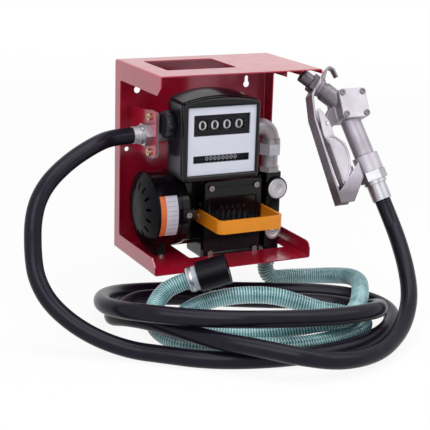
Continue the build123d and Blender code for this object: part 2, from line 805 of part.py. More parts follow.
# Pump body: a box open to the front, and the port block beside it
pump_width = pump_right - pump_left
pump_height = pump_top - pump_bottom
pump_x = (pump_left + pump_right) / 2
pump_z = (pump_bottom + pump_top) / 2
screw_x = pump_width - 2 * cover_screw_inset
screw_z = pump_height - 2 * cover_screw_inset
with BuildPart() as pump_body:
    with BuildSketch(front_plane.offset(-pump_back)):
        with Locations((pump_x, pump_z)):
            RectangleRounded(pump_width, pump_height, pump_round)
    extrude(amount=pump_back - pump_front)
    with BuildSketch(front_plane.offset(-pump_front)):
        with Locations((pump_x, pump_z)):
            Rectangle(pump_width - 2 * pump_wall, pump_height - 4 * cover_screw_inset + 10)
            Rectangle(pump_width - 4 * cover_screw_inset + 10, pump_height - 2 * pump_wall)
    extrude(amount=pump_wall - (pump_back - pump_front), mode=Mode.SUBTRACT)
    with Locations((block_left, block_front, pump_bottom)):
        Box(block_right - block_left, block_back - block_front, block_top - pump_bottom, align=Align.MIN)
    fillet(pump_body.edges().filter_by(Axis.Z).filter_by_position(Axis.X, block_left, block_right), 4)
    with Locations((pump_right - 1, web_front, pump_bottom + 6)):
        Box(block_left - pump_right + 2, 29, pump_height - 12, align=Align.MIN)
    with BuildSketch(front_plane.offset(-block_back)):
        with Locations((bypass_x, bypass_z)):
            Circle(bypass_rim)
    extrude(amount=block_back - block_front + 2)
    lug_length = lug_screw_y + lug_margin - block_back + 2
    with Locations((lug_screw_x, block_back - 2, shelf_z + sheet)):
        Box(lug_width, lug_length, lug_height, align=(Align.CENTER, Align.MIN, Align.MIN))
    with BuildSketch(Plane.XY.offset(shelf_z + sheet)):
        with Locations((lug_screw_x, lug_screw_y)):
            Circle(m6_hole)
    extrude(amount=8, mode=Mode.SUBTRACT)
    with BuildSketch(front_plane.offset(-block_front + 2)):
        with Locations((bypass_x, bypass_z)):
            Circle(bypass_bore)
    extrude(amount=block_front - 2 - seat_y, mode=Mode.SUBTRACT)
    with BuildSketch(front_plane.offset(-seat_y)):
        with Locations((bypass_x, bypass_z)):
            Circle(bypass_seat)
    extrude(amount=seat_y - chamber_end, mode=Mode.SUBTRACT)
    with BuildSketch(front_plane.offset(-block_front)):
        with Locations((strainer_x, strainer_z)):
            Circle(strainer_bore)
    extrude(amount=block_front - chamber_end, mode=Mode.SUBTRACT)
    for gallery_z in (bypass_z, strainer_z):
        with BuildSketch(Plane.YZ.offset(pump_right - pump_wall - 1)):
            with Locations((gallery_y, gallery_z)):
                Circle(gallery_radius - 1)
        extrude(amount=strainer_x - pump_right + pump_wall + 1, mode=Mode.SUBTRACT)
    with BuildSketch(Plane.XY.offset(block_top)):
        with Locations((riser_x, flow_y)):
            Circle(flow_bore)
    extrude(amount=bypass_z - block_top, mode=Mode.SUBTRACT)
    with BuildSketch(Plane.XY.offset(pump_bottom)):
        with Locations((riser_x, flow_y)):
            Circle(flow_bore)
    extrude(amount=strainer_z - pump_bottom, mode=Mode.SUBTRACT)
    with BuildSketch(motor_plane.offset(pump_left)):
        Circle(shaft_radius + running_fit)
    extrude(amount=pump_wall, mode=Mode.SUBTRACT)
    for wall_x, inward in ((pump_left, 1), (pump_right, -1)):
        with BuildSketch(Plane.YZ.offset(wall_x)):
            with Locations((handle_y, handle_z)):
                Circle(pivot_radius)
        extrude(amount=inward * pivot_depth, mode=Mode.SUBTRACT)
pump_body.part.label = "pump_body"
export_step(pump_body.part, "parts/pump_body.step")

# Pump cover and its screws, with the adapter's screw
with BuildPart() as pump_cover:
    with BuildSketch(front_plane.offset(-pump_front)):
        with Locations((pump_x, pump_z)):
            RectangleRounded(pump_width, pump_height, pump_round)
            with GridLocations(screw_x, screw_z, 2, 2):
                Circle(m6_hole, mode=Mode.SUBTRACT)
    extrude(amount=cover_thickness)
pump_cover.part.label = "pump_cover"
export_step(pump_cover.part, "parts/pump_cover.step")

cover_front = pump_front - cover_thickness
with BuildPart() as case_screws:
    for aside in (-screw_x / 2, screw_x / 2):
        for up in (-screw_z / 2, screw_z / 2):
            place = Plane(origin=(pump_x + aside, cover_front, pump_z + up), z_dir=(0, -1, 0))
            add(screw(place, m6_shank, cover_thickness, m6_head, 4, m6_socket))
    place = Plane(origin=(arm_screw_x, arm_front, arm_z), z_dir=(0, -1, 0))
    add(screw(place, m6_shank, arm_thickness - 0.5, m6_head, 4, m6_socket))
case_screws.part.label = "case_screws"
export_step(case_screws.part, "parts/case_screws.step")

# Cam ring, rotor and vanes
ring_plane = motor_plane.offset(ring_left)
with BuildPart() as cam_ring:
    with BuildSketch(ring_plane):
        Circle(ring_radius)
    extrude(amount=ring_length)
    with BuildSketch(ring_plane):
        with Locations((0, eccentricity)):
            Circle(ring_bore)
    extrude(amount=ring_length - ring_cheek, mode=Mode.SUBTRACT)
    with BuildSketch(ring_plane):
        Circle(shaft_radius + running_fit)
    extrude(amount=ring_length, mode=Mode.SUBTRACT)
cam_ring.part.label = "cam_ring"
export_step(cam_ring.part, "parts/cam_ring.step")

rotor_length = ring_length - ring_cheek - 2 * moving_gap
rotor_plane = ring_plane.offset(moving_gap)
with BuildPart() as pump_rotor:
    with BuildSketch(rotor_plane):
        Circle(pump_rotor_radius)
        Circle(shaft_radius + fixed_fit, mode=Mode.SUBTRACT)
        with PolarLocations(pump_rotor_radius - vane_depth / 2, vane_count):
            Rectangle(vane_depth + 0.5, vane_thickness + 2 * fixed_fit, mode=Mode.SUBTRACT)
    extrude(amount=rotor_length)
pump_rotor.part.label = "pump_rotor"
export_step(pump_rotor.part, "parts/pump_rotor.step")

with BuildPart() as pump_vanes:
    with BuildSketch(rotor_plane):
        with PolarLocations(vane_reach - vane_depth / 2, vane_count):
            Rectangle(vane_depth, vane_thickness)
    extrude(amount=rotor_length)
pump_vanes.part.label = "pump_vanes"
export_step(pump_vanes.part, "parts/pump_vanes.step")

# Bypass valve behind the large plug
plug_front = block_front - 2
stem_end = plug_front + 10
with BuildPart() as bypass_plug:
    with BuildSketch(front_plane.offset(-plug_front)):
        with Locations((bypass_x, bypass_z)):
            Circle(bypass_disc)
    extrude(amount=4)
    with BuildSketch(front_plane.offset(-plug_front)):
        with Locations((bypass_x, bypass_z)):
            Circle(bypass_bore - fixed_fit)
    extrude(amount=-10)
    with BuildSketch(front_plane.offset(-plug_front + 2)):
        with Locations((bypass_x, bypass_z)):
            RegularPolygon(5, 6)
    extrude(amount=2, mode=Mode.SUBTRACT)
    with BuildSketch(front_plane.offset(-stem_end)):
        with Locations((bypass_x, bypass_z)):
            Circle(3 + running_fit)
    extrude(amount=8, mode=Mode.SUBTRACT)
bypass_plug.part.label = "bypass_plug"
export_step(bypass_plug.part, "parts/bypass_plug.step")

poppet_back = seat_y - moving_gap
poppet_front = poppet_back - 4
with BuildPart() as bypass_poppet:
    with BuildSketch(front_plane.offset(-poppet_back)):
        with Locations((bypass_x, bypass_z)):
            Circle(bypass_bore - 2)
    extrude(amount=poppet_back - poppet_front)
    with BuildSketch(front_plane.offset(-poppet_front)):
        with Locations((bypass_x, bypass_z)):
            Circle(3)
    extrude(amount=poppet_front - stem_end + 2)
bypass_poppet.part.label = "bypass_poppet"
export_step(bypass_poppet.part, "parts/bypass_poppet.step")

spring_room = poppet_front - stem_end - 2 * moving_gap - 2 * spring_wire
spring_start = (bypass_x, poppet_front - moving_gap - spring_wire, bypass_z)
with BuildPart() as bypass_spring:
    with BuildLine() as coil:
        Helix(pitch=spring_room / 3, height=spring_room, radius=8, center=spring_start, direction=(0, -1, 0))
    with BuildSketch(Plane(origin=coil.line @ 0, z_dir=coil.line % 0)):
        Circle(spring_wire)
    sweep(is_frenet=True)
bypass_spring.part.label = "bypass_spring"
export_step(bypass_spring.part, "parts/bypass_spring.step")

# Strainer behind the small plug
with BuildPart() as strainer_plug:
    with BuildSketch(front_plane.offset(-block_front)):
        with Locations((strainer_x, strainer_z)):
            Circle(strainer_disc)
    extrude(amount=4)
    with BuildSketch(front_plane.offset(-block_front)):
        with Locations((strainer_x, strainer_z)):
            Circle(strainer_bore - fixed_fit)
    extrude(amount=-8)
    with BuildSketch(front_plane.offset(-block_front + 2)):
        with Locations((strainer_x, strainer_z)):
            RegularPolygon(6, 6)
    extrude(amount=2, mode=Mode.SUBTRACT)
strainer_plug.part.label = "strainer_plug"
export_step(strainer_plug.part, "parts/strainer_plug.step")

screen_front = block_front + 8
with BuildPart() as strainer_screen:
    with BuildSketch(front_plane.offset(-chamber_end)):
        with Locations((strainer_x, strainer_z)):
            Circle(strainer_bore - 1)
            Circle(strainer_bore - 1.8, mode=Mode.SUBTRACT)
    extrude(amount=chamber_end - screen_front)
strainer_screen.part.label = "strainer_screen"
export_step(strainer_screen.part, "parts/strainer_screen.step")

# Carrying handle, a strap that swings on two screws
handle_left = pump_left - handle_side - handle_strap
handle_right = pump_right + handle_side + handle_strap
handle_back = handle_y + handle_height / 2
with BuildPart() as carrying_handle:
    with BuildSketch(Plane.XY.offset(handle_z - handle_height / 2)) as strap:
        with Locations(((handle_left + handle_right) / 2, (handle_front + handle_back) / 2)):
            Rectangle(handle_right - handle_left, handle_back - handle_front)
        fillet(corner(strap, handle_left, handle_front), handle_round)
        fillet(corner(strap, handle_right, handle_front), handle_round)
        offset(amount=-handle_strap, mode=Mode.SUBTRACT)
        with Locations(((handle_left + handle_right) / 2, handle_back)):
            Rectangle(handle_right - handle_left - 2 * handle_strap, 3 * handle_strap, mode=Mode.SUBTRACT)
    extrude(amount=handle_height)
    fillet(carrying_handle.edges().filter_by(Axis.X).group_by(Axis.Y)[-1], handle_height / 2 - 0.05)
    with BuildSketch(Plane.YZ.offset(handle_left - 1)):
        with Locations((handle_y, handle_z)):
            Circle(pivot_radius + running_fit - fixed_fit)
    extrude(amount=handle_right - handle_left + 2, mode=Mode.SUBTRACT)
carrying_handle.part.label = "carrying_handle"
export_step(carrying_handle.part, "parts/carrying_handle.step")

with BuildPart() as handle_screws:
    for side, wall_x in ((-1, pump_left), (1, pump_right)):
        reach = handle_side + handle_strap + seat_gap
        place = Plane(origin=(wall_x + side * reach, handle_y, handle_z), z_dir=(side, 0, 0))
        length = reach + pivot_depth
        add(screw(place, pivot_radius - fixed_fit, length, pivot_head, pivot_head_height, 3))
handle_screws.part.label = "handle_screws"
export_step(handle_screws.part, "parts/handle_screws.step")

# Riser from the pump to the meter
with BuildPart() as riser_nipple:
    with BuildSketch(Plane.XY.offset(block_top)):
        with Locations((riser_x, flow_y)):
            RegularPolygon(nipple_across / 2, 6, major_radius=False)
    extrude(amount=8)
    with BuildSketch(Plane.XY.offset(block_top)):
        with Locations((riser_x, flow_y)):
            Circle(nipple_radius)
    extrude(amount=union_bottom + 4 - block_top)
    with BuildSketch(Plane.XY.offset(block_top)):
        with Locations((riser_x, flow_y)):
            Circle(flow_bore - fixed_fit)
    extrude(amount=-10)
    with BuildSketch(Plane.XY.offset(block_top - 10)):
        with Locations((riser_x, flow_y)):
            Circle(pipe_bore)
    extrude(amount=80, mode=Mode.SUBTRACT)
riser_nipple.part.label = "riser_nipple"
export_step(riser_nipple.part, "parts/riser_nipple.step")

elbow_bottom = union_bottom + 4
with BuildPart() as riser_union:
    with BuildSketch(Plane.XY.offset(union_bottom)):
        with Locations((riser_x, flow_y)):
            RegularPolygon(union_across / 2, 6, major_radius=False)
    extrude(amount=union_height)
    with BuildSketch(Plane.XY.offset(union_bottom)):
        with Locations((riser_x, flow_y)):
            Circle(nipple_radius + fixed_fit)
    extrude(amount=4, mode=Mode.SUBTRACT)
    with BuildSketch(Plane.XY.offset(elbow_bottom)):
        with Locations((riser_x, flow_y)):
            Circle(elbow_radius + fixed_fit)
    extrude(amount=union_height, mode=Mode.SUBTRACT)
riser_union.part.label = "riser_union"
export_step(riser_union.part, "parts/riser_union.step")

with BuildPart() as riser_elbow:
    with BuildLine() as elbow_path:
        FilletPolyline(
            (riser_x, flow_y, elbow_bottom),
            (riser_x, flow_y, flow_z),
            (port_right, flow_y, flow_z),
            radius=elbow_bend,
        )
    with BuildSketch(Plane(origin=elbow_path.line @ 0, z_dir=elbow_path.line % 0)):
        Circle(elbow_radius)
    sweep()
    with BuildSketch(Plane.XY.offset(union_bottom + union_height + seat_gap)):
        with Locations((riser_x, flow_y)):
            Circle(elbow_collar)
    extrude(amount=8)
    with BuildSketch(Plane.YZ.offset(port_right)):
        with Locations((flow_y, flow_z)):
            Circle(elbow_collar)
    extrude(amount=10)
    with BuildSketch(Plane.YZ.offset(port_right)):
        with Locations((flow_y, flow_z)):
            Circle(flow_bore - fixed_fit)
    extrude(amount=-12)
    with BuildLine() as bore_path:
        FilletPolyline(
            (riser_x, flow_y, elbow_bottom),
            (riser_x, flow_y, flow_z),
            (port_right - 12, flow_y, flow_z),
            radius=elbow_bend,
        )
    with BuildSketch(Plane(origin=bore_path.line @ 0, z_dir=bore_path.line % 0)):
        Circle(pipe_bore)
    sweep(mode=Mode.SUBTRACT)
riser_elbow.part.label = "riser_elbow"
export_step(riser_elbow.part, "parts/riser_elbow.step")

# Suction fitting under the pump
with BuildPart() as inlet_fitting:
    with BuildSketch(Plane.XY.offset(inlet_start_z)):
        with Locations((riser_x, flow_y)):
            Circle(suction_hose_radius + 1.5)
    extrude(amount=14)
    with BuildSketch(Plane.XY.offset(inlet_start_z + 14)):
        with Locations((riser_x, flow_y)):
            RegularPolygon(15, 6, major_radius=False)
    extrude(amount=pump_bottom - inlet_start_z - 14)
    with BuildSketch(Plane.XY.offset(pump_bottom)):
        with Locations((riser_x, flow_y)):
            Circle(flow_bore - fixed_fit)
    extrude(amount=12)
    with BuildSketch(Plane.XY.offset(inlet_start_z)):
        with Locations((riser_x, flow_y)):
            Circle(pipe_bore)
    extrude(amount=60, mode=Mode.SUBTRACT)
inlet_fitting.part.label = "inlet_fitting"
export_step(inlet_fitting.part, "parts/inlet_fitting.step")

# Nozzle: its plane leans back, its grip leans sideways in that plane
nozzle_normal = (0, -cos(radians(nozzle_lean)), sin(radians(nozzle_lean)))
nozzle_plane = Plane(origin=nozzle_origin, x_dir=(1, 0, 0), z_dir=nozzle_normal)


def along(start, angle, distance):
    """A point of the nozzle plane, some way from a start, at an angle above the right."""
    a = start[0] + distance * cos(radians(angle))
    b = start[1] + distance * sin(radians(angle))
    return nozzle_plane.from_local_coords(Vector(a, b, 0))


def across(start, angle, distance):
    """A plane square to a line of the nozzle plane, some way along it."""
    near = along(start, angle, distance)
    ahead = along(start, angle, distance + 1)
    return Plane(origin=near, x_dir=nozzle_normal, z_dir=ahead - near)


spout_angle = 180 - spout_rise
grip_angle = grip_lean - 90
valve_plane = nozzle_plane.offset(-valve_back)
with BuildPart() as nozzle_body:
    with BuildSketch(valve_plane):
        with Locations((valve_a, valve_b)):
            RectangleRounded(valve_width, valve_height, valve_round)
    extrude(amount=valve_front + valve_back)
    with BuildSketch(across(spout_start, spout_angle, -6)):
        Circle(spout_base_radius)
    extrude(amount=36)
    with BuildSketch(across(spout_start, spout_angle, 0)):
        Circle(spout_neck_radius)
    extrude(amount=neck_end)
    with BuildSketch(across(grip_start, grip_angle, 0)):
        Circle(grip_radius)
    extrude(amount=grip_length)
    with BuildSketch(nozzle_plane.offset(-lug_half)):
        with BuildLine():
            Polyline((48, -62), (48, -80), (26, -95), (12, -92), (12, -82), (32, -58), close=True)
        make_face()
    extrude(amount=2 * lug_half)
    with BuildSketch(nozzle_plane.offset(-lug_half)):
        with Locations(trigger_pivot):
            Circle(pin_radius)
    extrude(amount=2 * lug_half, mode=Mode.SUBTRACT)
    with BuildSketch(nozzle_plane.offset(valve_front)):
        with Locations((valve_a, valve_b)):
            Circle(17)
    extrude(amount=-34, mode=Mode.SUBTRACT)
    with BuildSketch(across(spout_start, spout_angle, -8)):
        Circle(spout_bore)
    extrude(amount=neck_end + 8, mode=Mode.SUBTRACT)
    with BuildSketch(across(grip_start, grip_angle, -16)):
        Circle(grip_bore)
    extrude(amount=grip_length + 16, mode=Mode.SUBTRACT)
    with BuildSketch(nozzle_plane.offset(valve_front)):
        with Locations((valve_a, valve_b)):
            with GridLocations(nozzle_screw_width, nozzle_screw_height, 2, 2):
                Circle(m6_hole)
    extrude(amount=-10, mode=Mode.SUBTRACT)
nozzle_body.part.label = "nozzle_body"
export_step(nozzle_body.part, "parts/nozzle_body.step")

with BuildPart() as nozzle_cover:
    with BuildSketch(nozzle_plane.offset(valve_front)):
        with Locations((valve_a, valve_b)):
            RectangleRounded(valve_width, valve_height, valve_round)
            with GridLocations(nozzle_screw_width, nozzle_screw_height, 2, 2):
                Circle(m6_hole, mode=Mode.SUBTRACT)
    extrude(amount=nozzle_cover_thickness)
nozzle_cover.part.label = "nozzle_cover"
export_step(nozzle_cover.part, "parts/nozzle_cover.step")

nozzle_front = nozzle_plane.offset(valve_front + nozzle_cover_thickness)
with BuildPart() as nozzle_screws:
    for a in (-nozzle_screw_width / 2, nozzle_screw_width / 2):
        for b in (-nozzle_screw_height / 2, nozzle_screw_height / 2):
            spot = nozzle_front.from_local_coords(Vector(valve_a + a, valve_b + b, 0))
            place = Plane(origin=spot, x_dir=(1, 0, 0), z_dir=nozzle_normal)
            add(screw(place, m6_shank, 11, 5.5, 2, m6_socket))
nozzle_screws.part.label = "nozzle_screws"
export_step(nozzle_screws.part, "parts/nozzle_screws.step")

# Spout tube and its nut, which rests in the notch of the frame
with BuildPart() as nozzle_spout:
    with BuildSketch(across(spout_start, spout_angle, neck_end)):
        RegularPolygon(15, 6, major_radius=False)
    extrude(amount=spout_nut_length)
    with BuildSketch(across(spout_start, spout_angle, neck_end + spout_nut_length)):
        Circle(spout_radius)
    extrude(amount=spout_length - neck_end - spout_nut_length)
    with BuildSketch(across(spout_start, spout_angle, neck_end)):
        Circle(spout_bore)
    extrude(amount=spout_length, mode=Mode.SUBTRACT)
nozzle_spout.part.label = "nozzle_spout"
export_step(nozzle_spout.part, "parts/nozzle_spout.step")

# Hanging hook on a ring round the spout
with BuildPart() as nozzle_hook:
    with BuildSketch(across(spout_start, spout_angle, hook_start)):
        Circle(spout_base_radius + 1)
    extrude(amount=band_width)
    with BuildSketch(nozzle_plane.offset(-6)):
        with BuildLine():
            Polyline(
                (26.8, -6.2), (30, -1), (38, 10), (47, 17.5), (56, 13), (61, -3),
                (57.5, -3.5), (53, 10), (47, 13.5), (40.5, 8), (34, -5), (30.6, -9.5), close=True,
            )
        make_face()
    extrude(amount=12)
    with BuildSketch(across(spout_start, spout_angle, 20)):
        Circle(spout_neck_radius + fixed_fit)
    extrude(amount=30, mode=Mode.SUBTRACT)
nozzle_hook.part.label = "nozzle_hook"
export_step(nozzle_hook.part, "parts/nozzle_hook.step")

# Trigger guard: a channel from the spout to the collar
with BuildPart() as trigger_guard:
    with BuildSketch(across(spout_start, spout_angle, hook_start + band_width + seat_gap)):
        Circle(spout_base_radius + 0.5)
    extrude(amount=band_width)
    with BuildSketch(nozzle_plane.offset(-guard_half)):
        with BuildLine():
            Polyline(
                (6.1, -28.1), (2.7, -25.1), (-4, -34), (-8, -77), (11, -230),
                (15, -230), (-4, -77), (0, -38), close=True,
            )
        make_face()
    extrude(amount=2 * guard_half)
    for side in (-1, 1):
        with BuildSketch(nozzle_plane.offset(side * (guard_half - 1) - 1)):
            with BuildLine():
                Polyline((11, -230), (9, -213), (62, -160), (66, -188), (38, -229), close=True)
            make_face()
        extrude(amount=2)
    with BuildSketch(across(spout_start, spout_angle, 30)):
        Circle(spout_neck_radius + fixed_fit)
    extrude(amount=30, mode=Mode.SUBTRACT)
    with BuildSketch(across(grip_start, grip_angle, grip_length - 4)):
        Circle(collar_radius + seat_gap)
    extrude(amount=50, mode=Mode.SUBTRACT)
    with BuildSketch(across(grip_start, grip_angle, grip_length - 20)):
        Circle(grip_radius + 1)
    extrude(amount=50, mode=Mode.SUBTRACT)
trigger_guard.part.label = "trigger_guard"
export_step(trigger_guard.part, "parts/trigger_guard.step")

# Trigger lever: two cheeks beside the lug and a ridged hand lever
with BuildPart() as trigger_lever:
    with BuildSketch(nozzle_plane.offset(-lever_half)):
        with BuildLine():
            Polyline(
                (4, -60), (9, -58), (24, -84), (27, -110), (46, -124), (50, -145),
                (47, -178), (30, -198), (25, -196), (14, -125), (6, -108), close=True,
            )
        make_face()
    extrude(amount=2 * lever_half)
    with BuildSketch(nozzle_plane.offset(-lug_half - moving_gap)):
        with BuildLine():
            Polyline((0, -50), (60, -50), (60, -100), (20, -102), (8, -98), (0, -80), close=True)
        make_face()
    extrude(amount=2 * (lug_half + moving_gap), mode=Mode.SUBTRACT)
    with BuildSketch(nozzle_plane.offset(-lever_half)):
        with Locations(trigger_pivot):
            Circle(pin_radius + running_fit)
    extrude(amount=2 * lever_half, mode=Mode.SUBTRACT)
trigger_lever.part.label = "trigger_lever"
export_step(trigger_lever.part, "parts/trigger_lever.step")

with BuildPart() as trigger_pin:
    with BuildSketch(nozzle_plane.offset(-lever_half - 1)):
        with Locations(trigger_pivot):
            Circle(pin_radius - 0.01)
    extrude(amount=2 * lever_half + 2)
trigger_pin.part.label = "trigger_pin"
export_step(trigger_pin.part, "parts/trigger_pin.step")

# Grip collar, swivel nut and ferrule
with BuildPart() as grip_collar:
    with BuildSketch(across(grip_start, grip_angle, grip_length)):
        Circle(collar_radius)
        Circle(grip_bore, mode=Mode.SUBTRACT)
    extrude(amount=collar_length)
grip_collar.part.label = "grip_collar"
export_step(grip_collar.part, "parts/grip_collar.step")

swivel_start = grip_length + collar_length + moving_gap
ferrule_start = swivel_start + swivel_length + moving_gap
with BuildPart() as swivel_nut:
    with BuildSketch(across(grip_start, grip_angle, swivel_start)):
        RegularPolygon(swivel_radius, 6)
        Circle(grip_bore + 3 + running_fit, mode=Mode.SUBTRACT)
    extrude(amount=swivel_length)
swivel_nut.part.label = "swivel_nut"
export_step(swivel_nut.part, "parts/swivel_nut.step")

with BuildPart() as nozzle_ferrule:
    with BuildSketch(across(grip_start, grip_angle, grip_length + collar_length)):
        Circle(grip_bore + 3)
    extrude(amount=swivel_length + 2 * moving_gap)
    with BuildSketch(across(grip_start, grip_angle, ferrule_start)):
        Circle(ferrule_radius + 3)
    extrude(amount=6)
    with BuildSketch(across(grip_start, grip_angle, ferrule_start + 6)):
        Circle(ferrule_radius)
    extrude(amount=ferrule_length - 6)
    with BuildSketch(across(grip_start, grip_angle, grip_length + collar_length)):
        Circle(pipe_bore)
    extrude(amount=swivel_length + ferrule_length + 2, mode=Mode.SUBTRACT)
nozzle_ferrule.part.label = "nozzle_ferrule"
export_step(nozzle_ferrule.part, "parts/nozzle_ferrule.step")
hose_end_plane = across(grip_start, grip_angle, ferrule_start + ferrule_length)

# Foot valve: a slotted cup with a screen and a check poppet
foot_plane = Plane(origin=foot_centre, z_dir=foot_axis)
foot_left = -foot_length_valve / 2
with BuildPart() as foot_valve:
    with BuildSketch(foot_plane.offset(foot_left)):
        Circle(foot_radius)
    extrude(amount=foot_length_valve)
    with BuildSketch(foot_plane.offset(foot_left + 8)):
        Circle(foot_radius - foot_wall)
    extrude(amount=foot_length_valve - 8, mode=Mode.SUBTRACT)
    with BuildSketch(foot_plane.offset(foot_left)):
        Circle(pipe_bore)
    extrude(amount=8, mode=Mode.SUBTRACT)
foot_valve.part.label = "foot_valve"
export_step(foot_valve.part, "parts/foot_valve.step")

screen_left = foot_left + foot_length_valve - foot_hub_length
with BuildPart() as foot_screen:
    with BuildSketch(foot_plane.offset(screen_left)):
        Circle(foot_radius - foot_wall - seat_gap)
        with PolarLocations(foot_slot_centre, foot_slots):
            SlotOverall(foot_slot_length, foot_slot_width, mode=Mode.SUBTRACT)
    extrude(amount=foot_screen_thickness)
    with BuildSketch(foot_plane.offset(screen_left)):
        Circle(5)
    extrude(amount=foot_hub_length)
    with BuildSketch(foot_plane.offset(screen_left)):
        Circle(foot_stem_radius + running_fit)
    extrude(amount=foot_hub_length, mode=Mode.SUBTRACT)
foot_screen.part.label = "foot_screen"
export_step(foot_screen.part, "parts/foot_screen.step")

poppet_left = screen_left - moving_gap - foot_poppet_thickness
with BuildPart() as foot_poppet:
    with BuildSketch(foot_plane.offset(poppet_left)):
        Circle(foot_poppet_radius)
    extrude(amount=foot_poppet_thickness)
    with BuildSketch(foot_plane.offset(poppet_left)):
        Circle(foot_stem_radius)
    extrude(amount=foot_poppet_thickness + moving_gap + foot_hub_length - 0.5)
foot_poppet.part.label = "foot_poppet"
export_step(foot_poppet.part, "parts/foot_poppet.step")

with BuildPart() as foot_collar:
    with BuildSketch(foot_plane.offset(foot_left)):
        Circle(collar_ring_radius)
        Circle(pipe_bore, mode=Mode.SUBTRACT)
    extrude(amount=-collar_ring_length)
foot_collar.part.label = "foot_collar"
export_step(foot_collar.part, "parts/foot_collar.step")
foot_end_plane = foot_plane.offset(foot_left - collar_ring_length)


def corner_radii(points):
    """Each arc as large as the two runs beside its corner allow."""
    radii = []
    for before, here, after in zip(points, points[1:], points[2:]):
        first = Vector(*here) - Vector(*before)
        second = Vector(*after) - Vector(*here)
        turn = radians(first.get_angle(second))
        radii.append(0.45 * min(first.length, second.length) / tan(turn / 2))
    return radii


# Delivery hose, from the meter round the floor and up to the nozzle
nozzle_end = tuple(hose_end_plane.origin)
nozzle_lead = tuple(hose_end_plane.origin + hose_end_plane.z_dir * 42)
delivery_route = delivery_points + [nozzle_lead, nozzle_end]
delivery_radii = corner_radii(delivery_route)
print("delivery hose radii", [round(radius) for radius in delivery_radii])
with BuildPart() as delivery_hose:
    with BuildLine() as delivery_path:
        FilletPolyline(*delivery_route, radius=delivery_radii)
    with BuildSketch(Plane(origin=delivery_path.line @ 0, z_dir=delivery_path.line % 0)):
        Circle(delivery_hose_radius)
    sweep()
delivery_hose.part.label = "delivery_hose"
export_step(delivery_hose.part, "parts/delivery_hose.step")

# Suction hose, from the pump round the floor to the foot valve
foot_end = tuple(foot_end_plane.origin)
foot_lead = tuple(foot_end_plane.origin - foot_end_plane.z_dir * 32)
suction_route = suction_points + [foot_lead, foot_end]
suction_radii = corner_radii(suction_route)
print("suction hose radii", [round(radius) for radius in suction_radii])
with BuildPart() as suction_hose:
    with BuildLine() as suction_path:
        FilletPolyline(*suction_route, radius=suction_radii)
    with BuildSketch(Plane(origin=suction_path.line @ 0, z_dir=suction_path.line % 0)):
        Circle(suction_hose_radius)
    sweep()
suction_hose.part.label = "suction_hose"
export_step(suction_hose.part, "parts/suction_hose.step")

for hose, path, radius in (
    (delivery_hose, delivery_path, delivery_hose_radius),
    (suction_hose, suction_path, suction_hose_radius),
):
    length = path.wire().length
    ratio = hose.part.volume / (pi * radius**2 * length)
    print(hose.part.label, "length", round(length), "volume ratio", round(ratio, 4))
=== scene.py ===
# %% [markdown]
# A wall-hung diesel transfer pump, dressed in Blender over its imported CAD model.
# The CAD model fixes every size and every moving body. This lesson adds what a
# CAD model lacks: paint, rubber, ribbed plastic, cast metal and printed digits.
# Each step below says what the real piece is and why it is made this way.

import json
import math
from functools import partialmethod

import bmesh
import bpy
import numpy as np
from mathutils import Matrix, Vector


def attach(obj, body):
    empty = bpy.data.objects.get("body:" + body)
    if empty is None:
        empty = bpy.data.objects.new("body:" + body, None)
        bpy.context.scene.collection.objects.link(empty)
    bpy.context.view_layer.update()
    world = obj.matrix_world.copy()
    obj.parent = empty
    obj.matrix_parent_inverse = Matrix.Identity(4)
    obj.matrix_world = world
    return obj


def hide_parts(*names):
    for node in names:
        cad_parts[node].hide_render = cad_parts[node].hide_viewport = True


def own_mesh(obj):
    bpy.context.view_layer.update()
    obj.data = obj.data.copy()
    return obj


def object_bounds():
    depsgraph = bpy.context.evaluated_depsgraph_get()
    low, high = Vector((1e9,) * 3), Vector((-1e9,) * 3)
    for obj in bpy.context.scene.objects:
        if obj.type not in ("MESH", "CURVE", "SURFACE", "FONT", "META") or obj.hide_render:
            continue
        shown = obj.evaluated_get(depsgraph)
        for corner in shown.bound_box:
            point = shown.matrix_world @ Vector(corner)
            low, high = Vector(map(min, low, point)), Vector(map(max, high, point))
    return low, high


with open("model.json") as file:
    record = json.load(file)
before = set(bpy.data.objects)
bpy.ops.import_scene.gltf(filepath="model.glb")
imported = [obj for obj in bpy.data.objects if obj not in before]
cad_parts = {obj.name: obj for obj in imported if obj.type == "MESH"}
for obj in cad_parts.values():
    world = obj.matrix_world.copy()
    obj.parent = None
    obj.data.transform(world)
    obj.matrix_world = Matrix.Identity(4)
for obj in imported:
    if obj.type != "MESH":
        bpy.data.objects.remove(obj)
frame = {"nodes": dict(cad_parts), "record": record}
cad_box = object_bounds()
print("CAD box", [[round(v, 3) for v in corner] for corner in cad_box])

# %% [markdown]
# The camera comes first. Its place and lens were worked out from the corners of
# the frame in the photograph: a long lens, a little above the pump and to its
# left. Yaw turns it to the right, pitch tips it down and roll levels the frame.


# %% Camera
def placed_matrix(right, up, back, place):
    """Blender's matrix for a thing with the given x, y and z axes and place."""
    matrix = np.eye(4)
    matrix[:3] = np.column_stack([right, up, back, place])
    return Matrix(matrix.tolist())


